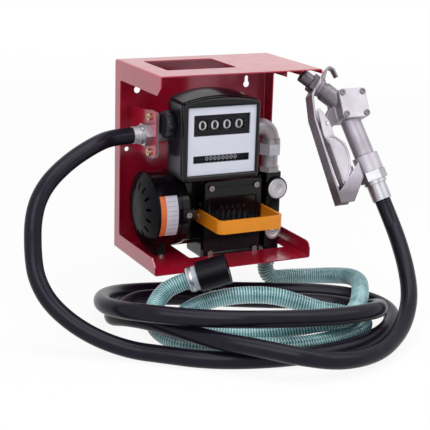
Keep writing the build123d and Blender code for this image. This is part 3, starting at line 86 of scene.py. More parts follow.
yaw, pitch, roll = np.radians([26.554, 15.689, 1.729])
focal_px = 1224.8
photo_px = 430
camera_place = (-0.932, -1.971, 0.374)
level_part = math.cos(pitch)
look = np.array([math.sin(yaw) * level_part, math.cos(yaw) * level_part, -math.sin(pitch)])
level_right = np.array([math.cos(yaw), -math.sin(yaw), 0.0])
level_up = np.cross(level_right, look)
right = math.cos(roll) * level_right + math.sin(roll) * level_up
up = -math.sin(roll) * level_right + math.cos(roll) * level_up
camera_data = bpy.data.cameras.new("camera")
camera_data.sensor_width = 36
camera_data.lens = focal_px / photo_px * camera_data.sensor_width
camera = bpy.data.objects.new("camera", camera_data)
bpy.context.collection.objects.link(camera)
camera.matrix_world = placed_matrix(right, up, -look, camera_place)
bpy.context.scene.camera = camera
bpy.context.view_layer.update()
print("lens", round(camera_data.lens, 1), "mm")

# %% [markdown]
# Shader maths reads best as plain expressions. One small class wraps a node
# socket and overloads the operators, so that 1 - mask adds its own Math node.
# Sine and part, the fraction of a value, work alike. A second class keeps one
# material's nodes and makes any node from its type.


# %% Socket arithmetic
class Wire:
    """A node's output that can be added, multiplied and compared like a number."""

    def __init__(self, paint, socket):
        self.paint = paint
        self.socket = socket

    def _math(self, operation, *others):
        """A Math node that takes this value first and the others after it."""
        values = dict(enumerate((self, *others)))
        return self.paint.node("ShaderNodeMath", {"operation": operation}, values)

    __add__ = __radd__ = partialmethod(_math, "ADD")
    __mul__ = __rmul__ = partialmethod(_math, "MULTIPLY")
    __sub__ = partialmethod(_math, "SUBTRACT")
    __truediv__ = partialmethod(_math, "DIVIDE")
    __gt__ = partialmethod(_math, "GREATER_THAN")
    __lt__ = partialmethod(_math, "LESS_THAN")
    larger = partialmethod(_math, "MAXIMUM")
    sine = partialmethod(_math, "SINE")
    part = partialmethod(_math, "FRACT")

    def __rsub__(self, other):
        return self.paint.node("ShaderNodeMath", {"operation": "SUBTRACT"}, {0: other, 1: self})

    def span(self, low, high, to_low=0.0, to_high=1.0):
        """The value mapped from one range to another and held inside it."""
        limits = {"From Min": low, "From Max": high, "To Min": to_low, "To Max": to_high}
        return self.paint.node("ShaderNodeMapRange", {}, {"Value": self, **limits})


class Paint:
    """One material, or the world: it adds nodes, and a material ends in one Principled shader."""

    def __init__(self, name, world=None):
        self.material = world or bpy.data.materials.new(name)
        self.material.use_nodes = True
        self.tree = self.material.node_tree
        self.tree.nodes.clear()
        kind = "ShaderNodeOutputWorld" if world else "ShaderNodeOutputMaterial"
        self.output = self.tree.nodes.new(kind)

    def node(self, kind, settings, values, take=0):
        """A node of a kind: its settings come first, then each socket's value or link."""
        made = self.tree.nodes.new(kind)
        for key, value in settings.items():
            setattr(made, key, value)
        for key, value in values.items():
            socket = made.inputs[key]
            if isinstance(value, Wire):
                self.tree.links.new(value.socket, socket)
            elif socket.type == "RGBA":
                socket.default_value = (*value, 1)
            else:
                socket.default_value = value
        return Wire(self, made.outputs[take])

    def place(self):
        """Object coordinates, which are the model's own metres."""
        return self.node("ShaderNodeTexCoord", {}, {}, "Object")

    def axis(self, letter):
        """One of the object coordinates, X, Y or Z."""
        return self.node("ShaderNodeSeparateXYZ", {}, {"Vector": self.place()}, letter)

    def noise(self, scale, detail=3.0, rough=0.5):
        """Smooth noise between 0 and 1, with the scale counted in cells per metre."""
        values = {"Vector": self.place(), "Scale": scale, "Detail": detail, "Roughness": rough}
        return self.node("ShaderNodeTexNoise", {}, values)

    def mix(self, factor, first, second):
        """Two colours mixed by a mask; 6 and 7 are the Mix node's colour sockets."""
        values = {0: factor, 6: first, 7: second}
        return self.node("ShaderNodeMix", {"data_type": "RGBA"}, values, 2)

    def bump(self, height, strength, distance):
        """A bump for Normal: a height of one stands the distance in metres proud."""
        values = {"Height": height, "Strength": strength, "Distance": distance}
        return self.node("ShaderNodeBump", {}, values)

    def end(self, shader):
        """Link the last shader to the output."""
        self.tree.links.new(shader.socket, self.output.inputs[0])

    def finish(self, **values):
        """Close with one Principled shader; Base_Color stands for the socket Base Color."""
        names = {key.replace("_", " "): value for key, value in values.items()}
        self.end(self.node("ShaderNodeBsdfPrincipled", {}, names))
        return self.material


# %% [markdown]
# The floor is plain and white, and so is the background. A ray from the camera,
# from gloss or through glass sees the world as pure white, and a part of the
# floor's white is its own, so that only a soft shadow stays under the hoses.
# That part grows to all of it three metres out, where the floor meets the sky.
# Rays that light the object see a dimmer world, so nothing here adds to them.


# %% Floor and background
def backdrop(paint, lit, seen, share):
    """Seen takes its share where one of three ray flags is set, and lit does all the rest."""
    names = ("Is Camera Ray", "Is Glossy Ray", "Is Transmission Ray")
    flags = [paint.node("ShaderNodeLightPath", {}, {}, name) for name in names]
    rays = flags[0].larger(flags[1]).larger(flags[2])
    paint.end(paint.node("ShaderNodeMixShader", {}, {0: rays * share, 1: lit, 2: seen}))


white = (1, 1, 1)
floor_gap = 0.0005
floor_z = cad_box[0][2]
bpy.ops.mesh.primitive_plane_add(size=40, location=(0, 0, floor_z - floor_gap))
floor = bpy.context.object
floor.name = "floor"
floor_paint = Paint("floor white")
glow = floor_paint.node("ShaderNodeEmission", {}, {"Color": white, "Strength": 1.0})
matt = floor_paint.node("ShaderNodeBsdfDiffuse", {}, {"Color": (0.92, 0.92, 0.92)})
from_middle = floor_paint.node(
    "ShaderNodeVectorMath", {"operation": "LENGTH"}, {0: floor_paint.place()}, "Value"
)
floor_share = from_middle.span(low=0.8, high=3.0, to_low=0.9, to_high=1.0)
backdrop(floor_paint, matt, glow, floor_share)
floor.data.materials.append(floor_paint.material)

world = bpy.context.scene.world or bpy.data.worlds.new("studio")
bpy.context.scene.world = world
sky = Paint("studio", world)
sky_light = sky.node("ShaderNodeBackground", {}, {"Color": white, "Strength": 0.38})
sky_seen = sky.node("ShaderNodeBackground", {}, {"Color": white, "Strength": 1.0})
backdrop(sky, sky_light, sky_seen, 1.0)
bpy.context.scene.view_settings.view_transform = "Standard"
print("floor at", round(floor_z, 4), "m")

# %% [markdown]
# Three large square lamps do the work of a studio's softboxes. Their size makes
# soft shadows and broad highlights. They stand high, so that the red top plate
# mirrors none of them at a flat angle, where paint shines most.


# %% Lamps
def softbox(name, place, aim, size, power):
    """A square lamp at a place, turned towards a point."""
    lamp = bpy.data.lights.new(name, "AREA")
    lamp.energy = power
    lamp.size = size
    holder = bpy.data.objects.new(name, lamp)
    away = np.array(place, float) - np.array(aim, float)
    away /= np.linalg.norm(away)
    side = np.cross((0, 0, 1), away)
    side /= np.linalg.norm(side)
    bpy.context.collection.objects.link(holder)
    holder.matrix_world = placed_matrix(side, np.cross(away, side), away, place)


object_middle = (0, -0.15, -0.15)
softbox("key", (-1.6, -2.2, 1.9), object_middle, size=2.2, power=44)
softbox("fill", (1.5, -1.5, 1.9), object_middle, size=1.9, power=20)
softbox("top", (0.1, -0.5, 2.2), object_middle, size=1.8, power=26)
print("lamps", {light.name: light.energy for light in bpy.data.lights})

# %% [markdown]
# Both hoses are free cords. Each follows one smooth NURBS line through the
# route's points, the same points as the CAD model has. Blender evaluates the
# line, and its points are read back and spaced evenly for the tube's rings.


# %% Hose lines
def nurbs_curve(name, points, resolution, closed=False):
    """A NURBS curve of order three whose control points are given in metres."""
    curve = bpy.data.curves.new(name, "CURVE")
    curve.dimensions = "3D"
    spline = curve.splines.new("NURBS")
    spline.points.add(len(points) - 1)
    spline.points.foreach_set("co", np.column_stack([points, np.ones(len(points))]).ravel())
    spline.order_u = 3
    spline.use_endpoint_u = not closed
    spline.use_cyclic_u = closed
    spline.resolution_u = resolution
    return curve


def evaluated_mesh(curve):
    """The mesh that Blender makes of a curve or a text."""
    holder = bpy.data.objects.new(curve.name, curve)
    bpy.context.collection.objects.link(holder)
    bpy.context.view_layer.update()
    mesh = bpy.data.meshes.new_from_object(holder)
    bpy.data.objects.remove(holder)
    return mesh


def hose_line(name, points_mm):
    """Points along the NURBS line whose control points are the route."""
    line = evaluated_mesh(nurbs_curve(name, np.array(points_mm, float) / 1000, resolution=16))
    points = np.empty(len(line.vertices) * 3)
    line.vertices.foreach_get("co", points)
    bpy.data.meshes.remove(line)
    return points.reshape(-1, 3)


def even_steps(points, step):
    """The same line with points at even distances, by linear interpolation on its length."""
    run = np.concatenate([[0], np.cumsum(np.linalg.norm(np.diff(points, axis=0), axis=1))])
    keep = np.concatenate([[True], np.diff(run) > 1e-9])
    count = int(round(run[-1] / step)) + 1
    at = np.linspace(0, run[-1], count)
    return np.column_stack([np.interp(at, run[keep], points[keep, k]) for k in range(3)]), at


# %% [markdown]
# A tube is a grid of points: one ring for each step along the line. The rings'
# frames turn as little as possible from step to step, so the tube never twists.
# The same grid helper later makes the turned caps and the moulded covers.


# %% Tubes and grids
def carried_frames(points):
    """Two side directions at each point, each carried on from the last with the least turn."""
    tangents = np.gradient(points, axis=0)
    tangents /= np.linalg.norm(tangents, axis=1)[:, None]
    side = np.cross(tangents[0], (0, 0, 1) if abs(tangents[0][2]) < 0.9 else (0, 1, 0))
    sides = np.empty_like(points)
    for k, tangent in enumerate(tangents):
        side = side - tangent * side.dot(tangent)
        side /= np.linalg.norm(side)
        sides[k] = side
    return sides, np.cross(tangents, sides)


def grid_mesh(name, rows, closed_round=True, caps=False):
    """A surface from an array of rings, rows by columns by three, joined into quads."""
    rings, around = rows.shape[:2]
    index = np.arange(rings * around).reshape(rings, around)
    turned = np.roll(index, -1, axis=1)
    if not closed_round:
        index, turned = index[:, :-1], index[:, 1:]
    quads = np.stack([index[:-1], turned[:-1], turned[1:], index[1:]], axis=-1).reshape(-1, 4)
    faces = quads.tolist()
    if caps:
        faces.append(list(range(around))[::-1])
        faces.append([(rings - 1) * around + k for k in range(around)])
    mesh = bpy.data.meshes.new(name)
    mesh.from_pydata(rows.reshape(-1, 3).tolist(), [], faces)
    mesh.polygons.foreach_set("use_smooth", np.ones(len(mesh.polygons), bool))
    mesh.update()
    return mesh


def new_piece(name, mesh, body):
    """A finished piece: an object at the origin that rides on a body."""
    piece = bpy.data.objects.new(name, mesh)
    bpy.context.collection.objects.link(piece)
    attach(piece, body)
    return piece


def tube_rows(points, radius):
    """Rings round a line: radius times cosine along one side plus sine along the other."""
    sides, ups = carried_frames(points)
    turn = np.linspace(0, 2 * np.pi, radius.shape[1], endpoint=False)
    along_side = sides[:, None] * np.cos(turn)[None, :, None]
    along_up = ups[:, None] * np.sin(turn)[None, :, None]
    return points[:, None] + radius[:, :, None] * (along_side + along_up)


def add_hose_map(mesh, around, run):
    """A UV map that counts metres along the hose and turns round it."""
    layer = mesh.uv_layers.new(name="hose")
    loops = np.empty(len(mesh.loops), int)
    mesh.loops.foreach_get("vertex_index", loops)
    column = (loops % around).astype(float)
    starts = np.empty(len(mesh.polygons), int)
    totals = np.empty(len(mesh.polygons), int)
    mesh.polygons.foreach_get("loop_start", starts)
    mesh.polygons.foreach_get("loop_total", totals)
    owner = np.repeat(np.arange(len(starts)), totals)
    quad_high = np.maximum.reduceat(column, starts)[owner]
    wrapped = (quad_high == around - 1) & (column == 0) & (totals[owner] == 4)
    column[wrapped] = around
    layer.data.foreach_set("uv", np.column_stack([column / around, run[loops // around]]).ravel())


# %% [markdown]
# The routes are in mm. The black hose goes from the meter's ferrule round the
# floor and up to the nozzle, the teal one from the pump's inlet to the foot valve.

# %% Routes
delivery_points = [
    (-144, -98, -59), (-190, -98, -59), (-234, -122, -65), (-287, -140, -87),
    (-333, -160, -118), (-358, -180, -157), (-365, -198, -215), (-365, -218, -254),
    (-348, -244, -292), (-307, -284, -327), (-252, -320, -349), (-203, -362, -349),
    (-164, -397, -349), (-110, -424, -349), (-37, -443, -349), (46, -447, -349),
    (122, -430, -349), (186, -393, -349), (231, -340, -349), (241, -280, -349),
    (214, -222, -349), (150, -175, -349), (70, -142, -349), (-13, -103, -349),
    (-82, -80, -349), (-139, -71, -347), (-186, -92, -338), (-231, -151, -321),
    (-259, -230, -304), (-252, -291, -293), (-221, -334, -288), (-177, -369, -288),
    (-124, -400, -288), (-58, -424, -289), (15, -438, -292), (82, -440, -295),
    (143, -420, -302), (180, -372, -317), (193, -314, -341), (178, -266, -349),
    (140, -232, -349), (84, -208, -349), (22, -177, -349), (-42, -143, -349),
    (-96, -116, -349), (-141, -104, -349), (-176, -122, -349), (-210, -160, -346),
    (-236, -208, -336), (-229, -251, -322), (-203, -293, -318), (-173, -352, -318),
    (-139, -410, -318), (-93, -455, -319), (-45, -498, -325), (20, -514, -337),
    (98, -494, -343), (157, -458, -335), (197, -424, -320), (227, -388, -296),
    (246, -345, -264), (254, -307, -230), (260.5, -272.8, -205.5), (251.5, -253.6, -169.3),
]
suction_points = [
    (110, -98, -315), (110, -98, -328), (118, -98, -341), (132, -98, -348),
    (153, -98, -348), (182, -107, -347), (209, -127, -343), (226, -158, -335),
    (230, -202, -323.5), (216, -250, -315), (190, -295, -311), (160, -340, -312),
    (127, -380, -314), (89, -406, -317), (50, -400, -318), (8, -375, -331),
    (-35, -348, -345), (-75, -322, -348), (-107, -296, -348), (-123, -266, -348),
    (-122, -235, -348), (-104, -210, -345), (-74, -199, -338), (-38, -206, -329),
    (0, -226, -321), (45, -250, -320), (82, -271, -331), (118, -285, -345),
    (148, -300, -348), (163, -328, -348), (161, -358, -348), (138, -383, -348),
    (99, -398, -348), (50, -409, -348), (-10, -407, -348), (-65, -382, -348),
    (-115, -362, -348), (-153, -338, -348), (-173, -306, -348), (-182, -266, -343),
    (-173, -229, -330), (-150, -203, -316), (-124.9, -196.5, -299.2), (-97.6, -209.3, -288.6),
]
print("route points", len(delivery_points), "and", len(suction_points))

# %% [markdown]
# The delivery hose is smooth rubber, so its tube has one radius all along.


# %% Delivery hose
def hose_skin(node, line, run, radius):
    """The tube round a line, with its map, which takes the CAD hose's place."""
    mesh = grid_mesh(node + "_skin", tube_rows(line, radius), caps=True)
    add_hose_map(mesh, radius.shape[1], run)
    skin = new_piece(node + "_skin", mesh, "base")
    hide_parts(node)
    print(node, round(run[-1], 3), "m", len(mesh.polygons), "faces")
    return skin


ring_spacing = 0.004
around_delivery = 40
delivery_line, delivery_run = even_steps(hose_line("delivery_line", delivery_points), ring_spacing)
delivery_radius = np.full((len(delivery_line), around_delivery), 0.014)
delivery_hose = hose_skin(
    "delivery_hose", delivery_line, delivery_run, delivery_radius
)

# %% [markdown]
# The suction hose is clear teal plastic over a wire helix. Its skin stands a
# little higher over the wire, so the radius is a wave that winds round the
# hose: it depends on the distance along it less the turn round it.

# %% Suction hose
around_suction = 28
rib_pitch = 0.0046
rings_per_rib = 6
suction_middle_radius = 0.0144
rib_height = 0.0006
suction_line, suction_run = even_steps(
    hose_line("suction_line", suction_points), rib_pitch / rings_per_rib
)
turn = np.linspace(0, 2 * np.pi, around_suction, endpoint=False)
wave = np.cos(2 * np.pi * suction_run[:, None] / rib_pitch - turn[None, :])
suction_radius = suction_middle_radius + rib_height * wave
suction_hose = hose_skin("suction_hose", suction_line, suction_run, suction_radius)

# %% [markdown]
# Every finish is procedural: a slow noise varies the colour, a second one the
# roughness, and a fine one gives the grain of paint, casting or moulding. Scales
# count cells per metre, so a grain of 0.4 mm has a noise scale of 2500.


# %% Grained and dusty finishes
def grained(name, colour, rough, grain_mm, depth_mm, blotch=0.12, spread=0.08, **constants):
    """A finish with blotches in its colour, a little spread of roughness and a fine grain."""
    paint = Paint(name)
    slow = paint.noise(22, 4, 0.6).span(0.3, 0.7)
    dark = [channel * (1 - blotch) for channel in colour]
    light = [min(1.0, channel * (1 + blotch)) for channel in colour]
    smear = paint.noise(60, 5, 0.65).span(0.25, 0.75, rough - spread, rough + spread)
    grain = paint.noise(1000 / grain_mm, 3, 0.5)
    return paint.finish(
        Base_Color=paint.mix(slow, dark, light),
        Roughness=smear,
        Normal=paint.bump(grain, 0.6, depth_mm / 1000),
        **constants,
    )


def dusty(name, colour, dust_colour, rough, grain_mm, depth_mm, amount=0.35, **constants):
    """A dark finish on which dust and fine scuffs have settled where a noise is high."""
    paint = Paint(name)
    dust = paint.noise(45, 6, 0.7).span(0.52, 0.72, 0.0, amount)
    scuff = paint.noise(240, 4, 0.75).span(0.62, 0.68, 0.0, amount)
    body = paint.mix(dust, colour, dust_colour)
    grain = paint.noise(1000 / grain_mm, 3, 0.5)
    return paint.finish(
        Base_Color=paint.mix(scuff, body, dust_colour),
        Roughness=dust * 0.4 + rough,
        Normal=paint.bump(grain, 0.6, depth_mm / 1000),
        **constants,
    )


# %% [markdown]
# The frame is powder coated. One flat red would look like toy plastic, so the
# crimson drifts slowly, a few darker specks lie in it, and the bump is the
# orange peel of a sprayed skin. The tint keeps its pale reflections pinkish.


# %% Red paint
def red_paint(name, coat):
    """Deep crimson under a hard gloss of the given weight."""
    paint = Paint(name)
    tone = paint.noise(9, 3, 0.55).span(0.3, 0.7)
    body = paint.mix(tone, (0.34, 0.004, 0.020), (0.44, 0.008, 0.034))
    specks = paint.noise(900, 2, 0.5).span(0.66, 0.72, 0.0, 0.25)
    peel = paint.noise(420, 2, 0.5)
    return paint.finish(
        Base_Color=paint.mix(specks, body, (0.22, 0.02, 0.03)),
        Roughness=paint.noise(30, 4, 0.6).span(0.3, 0.7, 0.16, 0.26),
        Normal=paint.bump(peel, 0.25, 0.0001),
        Specular_IOR_Level=0.8,
        Specular_Tint=(1.0, 0.74, 0.94),
        Coat_Weight=coat,
        Coat_Roughness=0.10,
    )


# %% [markdown]
# The motor's rating label is a printed film on a round shell. Its band, field
# and rules are masks of the object coordinates, so it needs no UV map.

# %% Label film
label_band_end = -0.1105
label_rules_from, label_rules_to = -0.1085, -0.0915
label_rules_per_metre = 125


def label_film():
    """An orange band at the left, a pale grey field with bare rules at the right."""
    paint = Paint("label film")
    across = paint.axis("X")
    up = paint.axis("Z")
    band = across < label_band_end
    field = paint.mix(paint.noise(70, 3, 0.5), (0.56, 0.53, 0.62), (0.66, 0.64, 0.72))
    line = (up * label_rules_per_metre + 0.2).part() < 0.16
    rule = line * (across > label_rules_from) * (across < label_rules_to)
    ruled = paint.mix(rule * 0.45, field, (0.16, 0.15, 0.20))
    orange = paint.mix(paint.noise(90, 3, 0.5), (0.66, 0.13, 0.03), (0.78, 0.19, 0.05))
    return paint.finish(
        Base_Color=paint.mix(band, ruled, orange),
        Roughness=paint.noise(80, 3, 0.5).span(0.3, 0.7, 0.26, 0.36),
    )


# %% [markdown]
# Both hoses read their own UV map, in turns round and metres along. The rubber
# has faint lengthwise mould lines and a chalky bloom. The vinyl is pale where
# the wire helix lies under it, and deeper between its turns.


# %% Hose rubber and vinyl
def hose_map(paint, letter):
    """X counts turns round the hose and Y metres along it."""
    spot = paint.node("ShaderNodeUVMap", {"uv_map": "hose"}, {})
    return paint.node("ShaderNodeSeparateXYZ", {}, {"Vector": spot}, letter)


def black_rubber():
    """Satin black: the mould lines are a sine of 96 waves round the hose."""
    paint = Paint("black rubber")
    bloom = paint.noise(38, 5, 0.65).span(0.45, 0.75, 0.0, 0.35)
    groove = (hose_map(paint, "X") * 96).part().span(0.0, 1.0, 0.0, 6.2832).sine()
    grain = paint.noise(1500, 3, 0.6)
    return paint.finish(
        Base_Color=paint.mix(bloom, (0.008, 0.006, 0.013), (0.018, 0.014, 0.026)),
        Roughness=bloom * 0.25 + 0.30,
        Normal=paint.bump(groove * 0.4 + grain, 0.5, 0.00012),
        Specular_IOR_Level=0.05,
        Specular_Tint=(0.86, 0.82, 1.0),
        Coat_Weight=0.24,
        Coat_Roughness=0.16,
    )


def teal_plastic():
    """Teal vinyl; wire lies where distance over pitch less the turn is near a whole number."""
    paint = Paint("teal vinyl")
    turned = hose_map(paint, "X")
    phase = (hose_map(paint, "Y") / rib_pitch - turned).part()
    wire = ((phase - 0.5) * (phase - 0.5)).span(0.07, 0.17, 0.0, 1.0)
    murk = paint.noise(16, 5, 0.65).span(0.36, 0.62)
    vinyl = paint.mix(murk, (0.010, 0.072, 0.088), (0.105, 0.31, 0.335))
    pale = paint.mix(murk, (0.28, 0.57, 0.60), (0.62, 0.84, 0.86))
    ribbed = paint.mix(wire * 0.85, vinyl, pale)
    seam = ((turned - 0.5) * (turned - 0.5)) < 0.00012
    return paint.finish(
        Base_Color=paint.mix(seam * 0.7, ribbed, (0.02, 0.07, 0.07)),
        Roughness=paint.noise(120, 3, 0.5).span(0.3, 0.7, 0.16, 0.28),
        Normal=paint.bump(paint.noise(900, 3, 0.5), 0.25, 0.0001),
        Coat_Weight=0.5,
        Coat_Roughness=0.08,
    )


# %% [markdown]
# Panes, plated metal, moulded enamel and pitted castings differ mostly in how
# evenly they shine, so each has a noise of its own in its roughness. The nozzle
# body is darker towards its neck, along one axis with a ragged edge: painted shade,
# in part also oil stain. The trigger guard is darker towards its lower end.

# %% Pane, metal and castings
cover_parting_y = -0.1702


def clear_pane():
    """The pane over the counter: nearly clear, with faint wipe marks in its roughness."""
    paint = Paint("clear pane")
    return paint.finish(
        Base_Color=(0.02, 0.02, 0.025),
        Alpha=paint.noise(60, 4, 0.6).span(0.3, 0.7, 0.05, 0.09),
        Roughness=paint.noise(160, 4, 0.7).span(0.3, 0.7, 0.03, 0.10),
    )


def turned_metal(name, colour, rough):
    """Plated or machined metal: blotchy brightness, fine tool marks and a little tarnish."""
    paint = Paint(name)
    slow = paint.noise(70, 5, 0.65).span(0.3, 0.7)
    dark = [channel * 0.85 for channel in colour]
    marks = paint.noise(1000 / 0.35, 2, 0.4)
    return paint.finish(
        Base_Color=paint.mix(slow, dark, colour),
        Metallic=1.0,
        Roughness=paint.noise(140, 4, 0.6).span(0.3, 0.7, rough - 0.07, rough + 0.07),
        Normal=paint.bump(marks, 0.35, 0.00006),
    )


def meter_cover_finish():
    """Enamel: slate on the sides and hood, near black and glossier before the parting line."""
    paint = Paint("meter cover")
    front = paint.axis("Y") < cover_parting_y
    dust = paint.noise(45, 6, 0.7).span(0.5, 0.75, 0.0, 0.3)
    slate = paint.mix(dust, (0.011, 0.011, 0.017), (0.032, 0.033, 0.044))
    grain = paint.noise(1400, 3, 0.5)
    return paint.finish(
        Base_Color=paint.mix(front, slate, (0.004, 0.004, 0.006)),
        Roughness=0.21 - front * 0.08 + dust * 0.2,
        Normal=paint.bump(grain, 0.5, 0.00005),
        Specular_IOR_Level=0.28,
    )


def weathered_casting(name, letter, dark_at, undarkened_at):
    """Cast aluminium, darker where the axis plus a ragged noise is nearer to dark_at."""
    paint = Paint(name)
    ragged = paint.noise(55, 5, 0.65) * 0.016 - 0.008
    # Darker towards dark_at: on the nozzle body this is painted shade at the neck, in part also oil
    # stain; on the trigger guard it darkens the lower end.
    dark_end = (paint.axis(letter) + ragged).span(dark_at, undarkened_at, 1.0, 0.0)
    slow = paint.noise(22, 4, 0.6).span(0.3, 0.7)
    bare_metal = paint.mix(slow, (0.31, 0.285, 0.33), (0.42, 0.385, 0.44))
    pits = paint.noise(520, 3, 0.6).span(0.60, 0.70, 0.0, 0.35)
    pitted = paint.mix(pits, bare_metal, (0.16, 0.14, 0.16))
    grain = paint.noise(1100, 3, 0.5)
    return paint.finish(
        Base_Color=paint.mix(dark_end * 0.75, pitted, (0.085, 0.070, 0.085)),
        Metallic=0.6,
        Roughness=paint.noise(60, 5, 0.65).span(0.25, 0.75, 0.34, 0.50),
        Normal=paint.bump(grain, 0.6, 0.00016),
    )


# %% [markdown]
# One table holds every finish. Most keys are the record's slots. The others are
# for pieces that look unlike the rest of their slot. The numbers after the
# colours are roughness, grain and depth in mm, and then how uneven.

# %% Table of finishes
finishes = {
    # The nozzle body's neck gets painted shade, in part also oil stain; the trigger guard is darker
    # towards its lower end.
    "nozzle_body": weathered_casting("cast nozzle body", "X", dark_at=0.176, undarkened_at=0.206),
    "trigger_guard": weathered_casting("cast trigger guard", "Z", dark_at=-0.150, undarkened_at=-0.120),
    "red_paint": red_paint("red paint", coat=0.35),
    "plate_paint": red_paint("plate paint", coat=0.1),
    "cast_black": dusty(
        "gloss black enamel", (0.004, 0.003, 0.005), (0.026, 0.024, 0.030),
        0.12, 2.2, 0.10, amount=0.12, Specular_IOR_Level=0.26,
    ),
    "fan_black": dusty(
        "fan cover black", (0.004, 0.003, 0.005), (0.016, 0.014, 0.019),
        0.24, 1.2, 0.08, amount=0.12, Specular_IOR_Level=0.06,
    ),
    "plug_metal": turned_metal("turned aluminium", (0.66, 0.64, 0.67), 0.42),
    "brass": turned_metal("yellow passivated steel", (0.62, 0.47, 0.30), 0.34),
    "spring_steel": turned_metal("spring steel", (0.42, 0.42, 0.45), 0.30),
    "steel": turned_metal("machined steel", (0.55, 0.55, 0.57), 0.35),
    "orange": grained("orange plastic", (0.88, 0.29, 0.010), 0.34, 0.5, 0.04, 0.05, 0.05),
    "black_screw": turned_metal("blackened screw", (0.16, 0.15, 0.16), 0.40),
    "number_wheel": grained(
        "wheel black", (0.004, 0.003, 0.007), 0.5, 0.3, 0.02, 0.1, 0.05, Specular_IOR_Level=0.2
    ),
    "zinc": turned_metal("bright zinc", (0.47, 0.46, 0.50), 0.36),
    # The spout lies under the top plate, and its dark colour is painted shade.
    "spout_metal": turned_metal("spout in painted shade", (0.16, 0.14, 0.16), 0.42),
    "printed_white": grained("printed white", (0.80, 0.80, 0.82), 0.5, 0.3, 0.005, 0.05, 0.05),
    "printed_grey": grained("printed grey", (0.62, 0.63, 0.70), 0.5, 0.3, 0.005, 0.1, 0.05),
    "meter_cover": meter_cover_finish(),
    "knob": dusty(
        "knob slate", (0.010, 0.010, 0.015), (0.05, 0.05, 0.062),
        0.36, 0.5, 0.05, amount=0.3, Specular_IOR_Level=0.4,
    ),
    "black_rubber": black_rubber(),
    "black_plastic": dusty(
        "black plastic", (0.005, 0.004, 0.007), (0.026, 0.024, 0.031),
        0.30, 0.45, 0.05, amount=0.15, Specular_IOR_Level=0.11,
    ),
    "white_plastic": grained("white plastic", (0.66, 0.67, 0.78), 0.38, 0.6, 0.02, 0.03, 0.05),
    "nozzle_metal": grained(
        "cast aluminium", (0.43, 0.40, 0.45), 0.42, 0.9, 0.16, 0.14, 0.08, Metallic=0.6
    ),
    "cast_grey": grained(
        "grey casting", (0.30, 0.29, 0.31), 0.55, 0.8, 0.15, 0.2, 0.08, Metallic=0.3
    ),
    "dark_grey": dusty(
        "meter enamel", (0.022, 0.022, 0.026), (0.09, 0.09, 0.10), 0.30, 0.5, 0.05, amount=0.3
    ),
    "clear_pane": clear_pane(),
    "label_film": label_film(),
    "galvanised": grained(
        "galvanised steel", (0.42, 0.38, 0.41), 0.36, 0.8, 0.10, 0.25, 0.10, Metallic=0.45
    ),
    "teal_plastic": teal_plastic(),
    "collar_white": grained("milky collar", (0.50, 0.54, 0.62), 0.34, 0.6, 0.02, 0.05, 0.05),
    "screw_steel": turned_metal("screw steel", (0.34, 0.30, 0.29), 0.30),
    "nozzle_cover": grained(
        "clean cast aluminium", (0.45, 0.42, 0.465), 0.40, 0.9, 0.16, 0.14, 0.08, Metallic=0.5
    ),
    "nozzle_hook": grained(
        "dull cast hook", (0.22, 0.20, 0.22), 0.46, 0.9, 0.16, 0.2, 0.08, Metallic=0.6
    ),
    "bright_casting": grained(
        "bright galvanised", (0.76, 0.75, 0.82), 0.32, 0.8, 0.10, 0.2, 0.10, Metallic=0.3
    ),
}
print("finishes", len(finishes))

# %% [markdown]
# Every CAD piece shows the finish of its slot, apart from six that look unlike the rest
# of theirs, such as the milky collar, and the spout, darkened as painted shade.

# %% Dress the CAD pieces
own_finish = {
    "meter_plate": "plate_paint",
    "nozzle_spout": "spout_metal",
    "fan_cover": "fan_black",
    "foot_collar": "collar_white",
    "case_screws": "screw_steel",
    "riser_union": "bright_casting",
}


def dress(piece, finish):
    """The piece shows one finish, whatever it came with."""
    piece.data.materials.clear()
    piece.data.materials.append(finishes[finish])


def grid_piece(name, rows, body, slot, finish=None, **how):
    """A new piece from a grid of rings, in a finish of its own or else its slot's."""
    piece = new_piece(name, grid_mesh(name, rows, **how), body)
    dress(piece, finish or slot)
    print(name, len(piece.data.polygons), "faces")
    return piece


for part in frame["record"]["subparts"]:
    node = part["node"]
    dress(frame["nodes"][node], own_finish.get(node, part["material_slot"]))
dress(delivery_hose, "black_rubber")
dress(suction_hose, "teal_plastic")

# %% [markdown]
# The meter's cover is one moulding: slate sides, a hood that rises to an arch
# towards the back, and a black bezel with rolled edges round the white face. A
# box with bevels could not give the arch, so one outline is traced round the
# cover and carried through a list of stations, each with its own rise and inset.


# %% Outlines carried through stations
def rounded_outline(low_x, high_x, low_z, high_z, radius, corner=10, side=36):
    """A rounded rectangle as (x, z) points: four quarter circles joined by straight sides."""
    left, right = low_x + radius, high_x - radius
    bottom, top = low_z + radius, high_z - radius
    centres = [(right, bottom), (right, top), (left, top), (left, bottom)]
    quarter = np.linspace(0, np.pi / 2, corner)
    arcs = []
    for k, centre in enumerate(centres):
        angle = quarter + (k - 1) * np.pi / 2
        arcs.append(np.array(centre) + radius * np.column_stack([np.cos(angle), np.sin(angle)]))
    share = np.linspace(0, 1, side + 2)[1:-1, None]
    runs = [arcs[k][-1] * (1 - share) + arcs[(k + 1) % 4][0] * share for k in range(4)]
    return np.concatenate([np.concatenate([arcs[k], runs[k]]) for k in range(4)])


def smooth_step(value, low, high):
    """Zero below low, one above high, and three t squared less two t cubed between them."""
    t = np.clip((np.asarray(value, float) - low) / (high - low), 0, 1)
    return t * t * (3 - 2 * t)


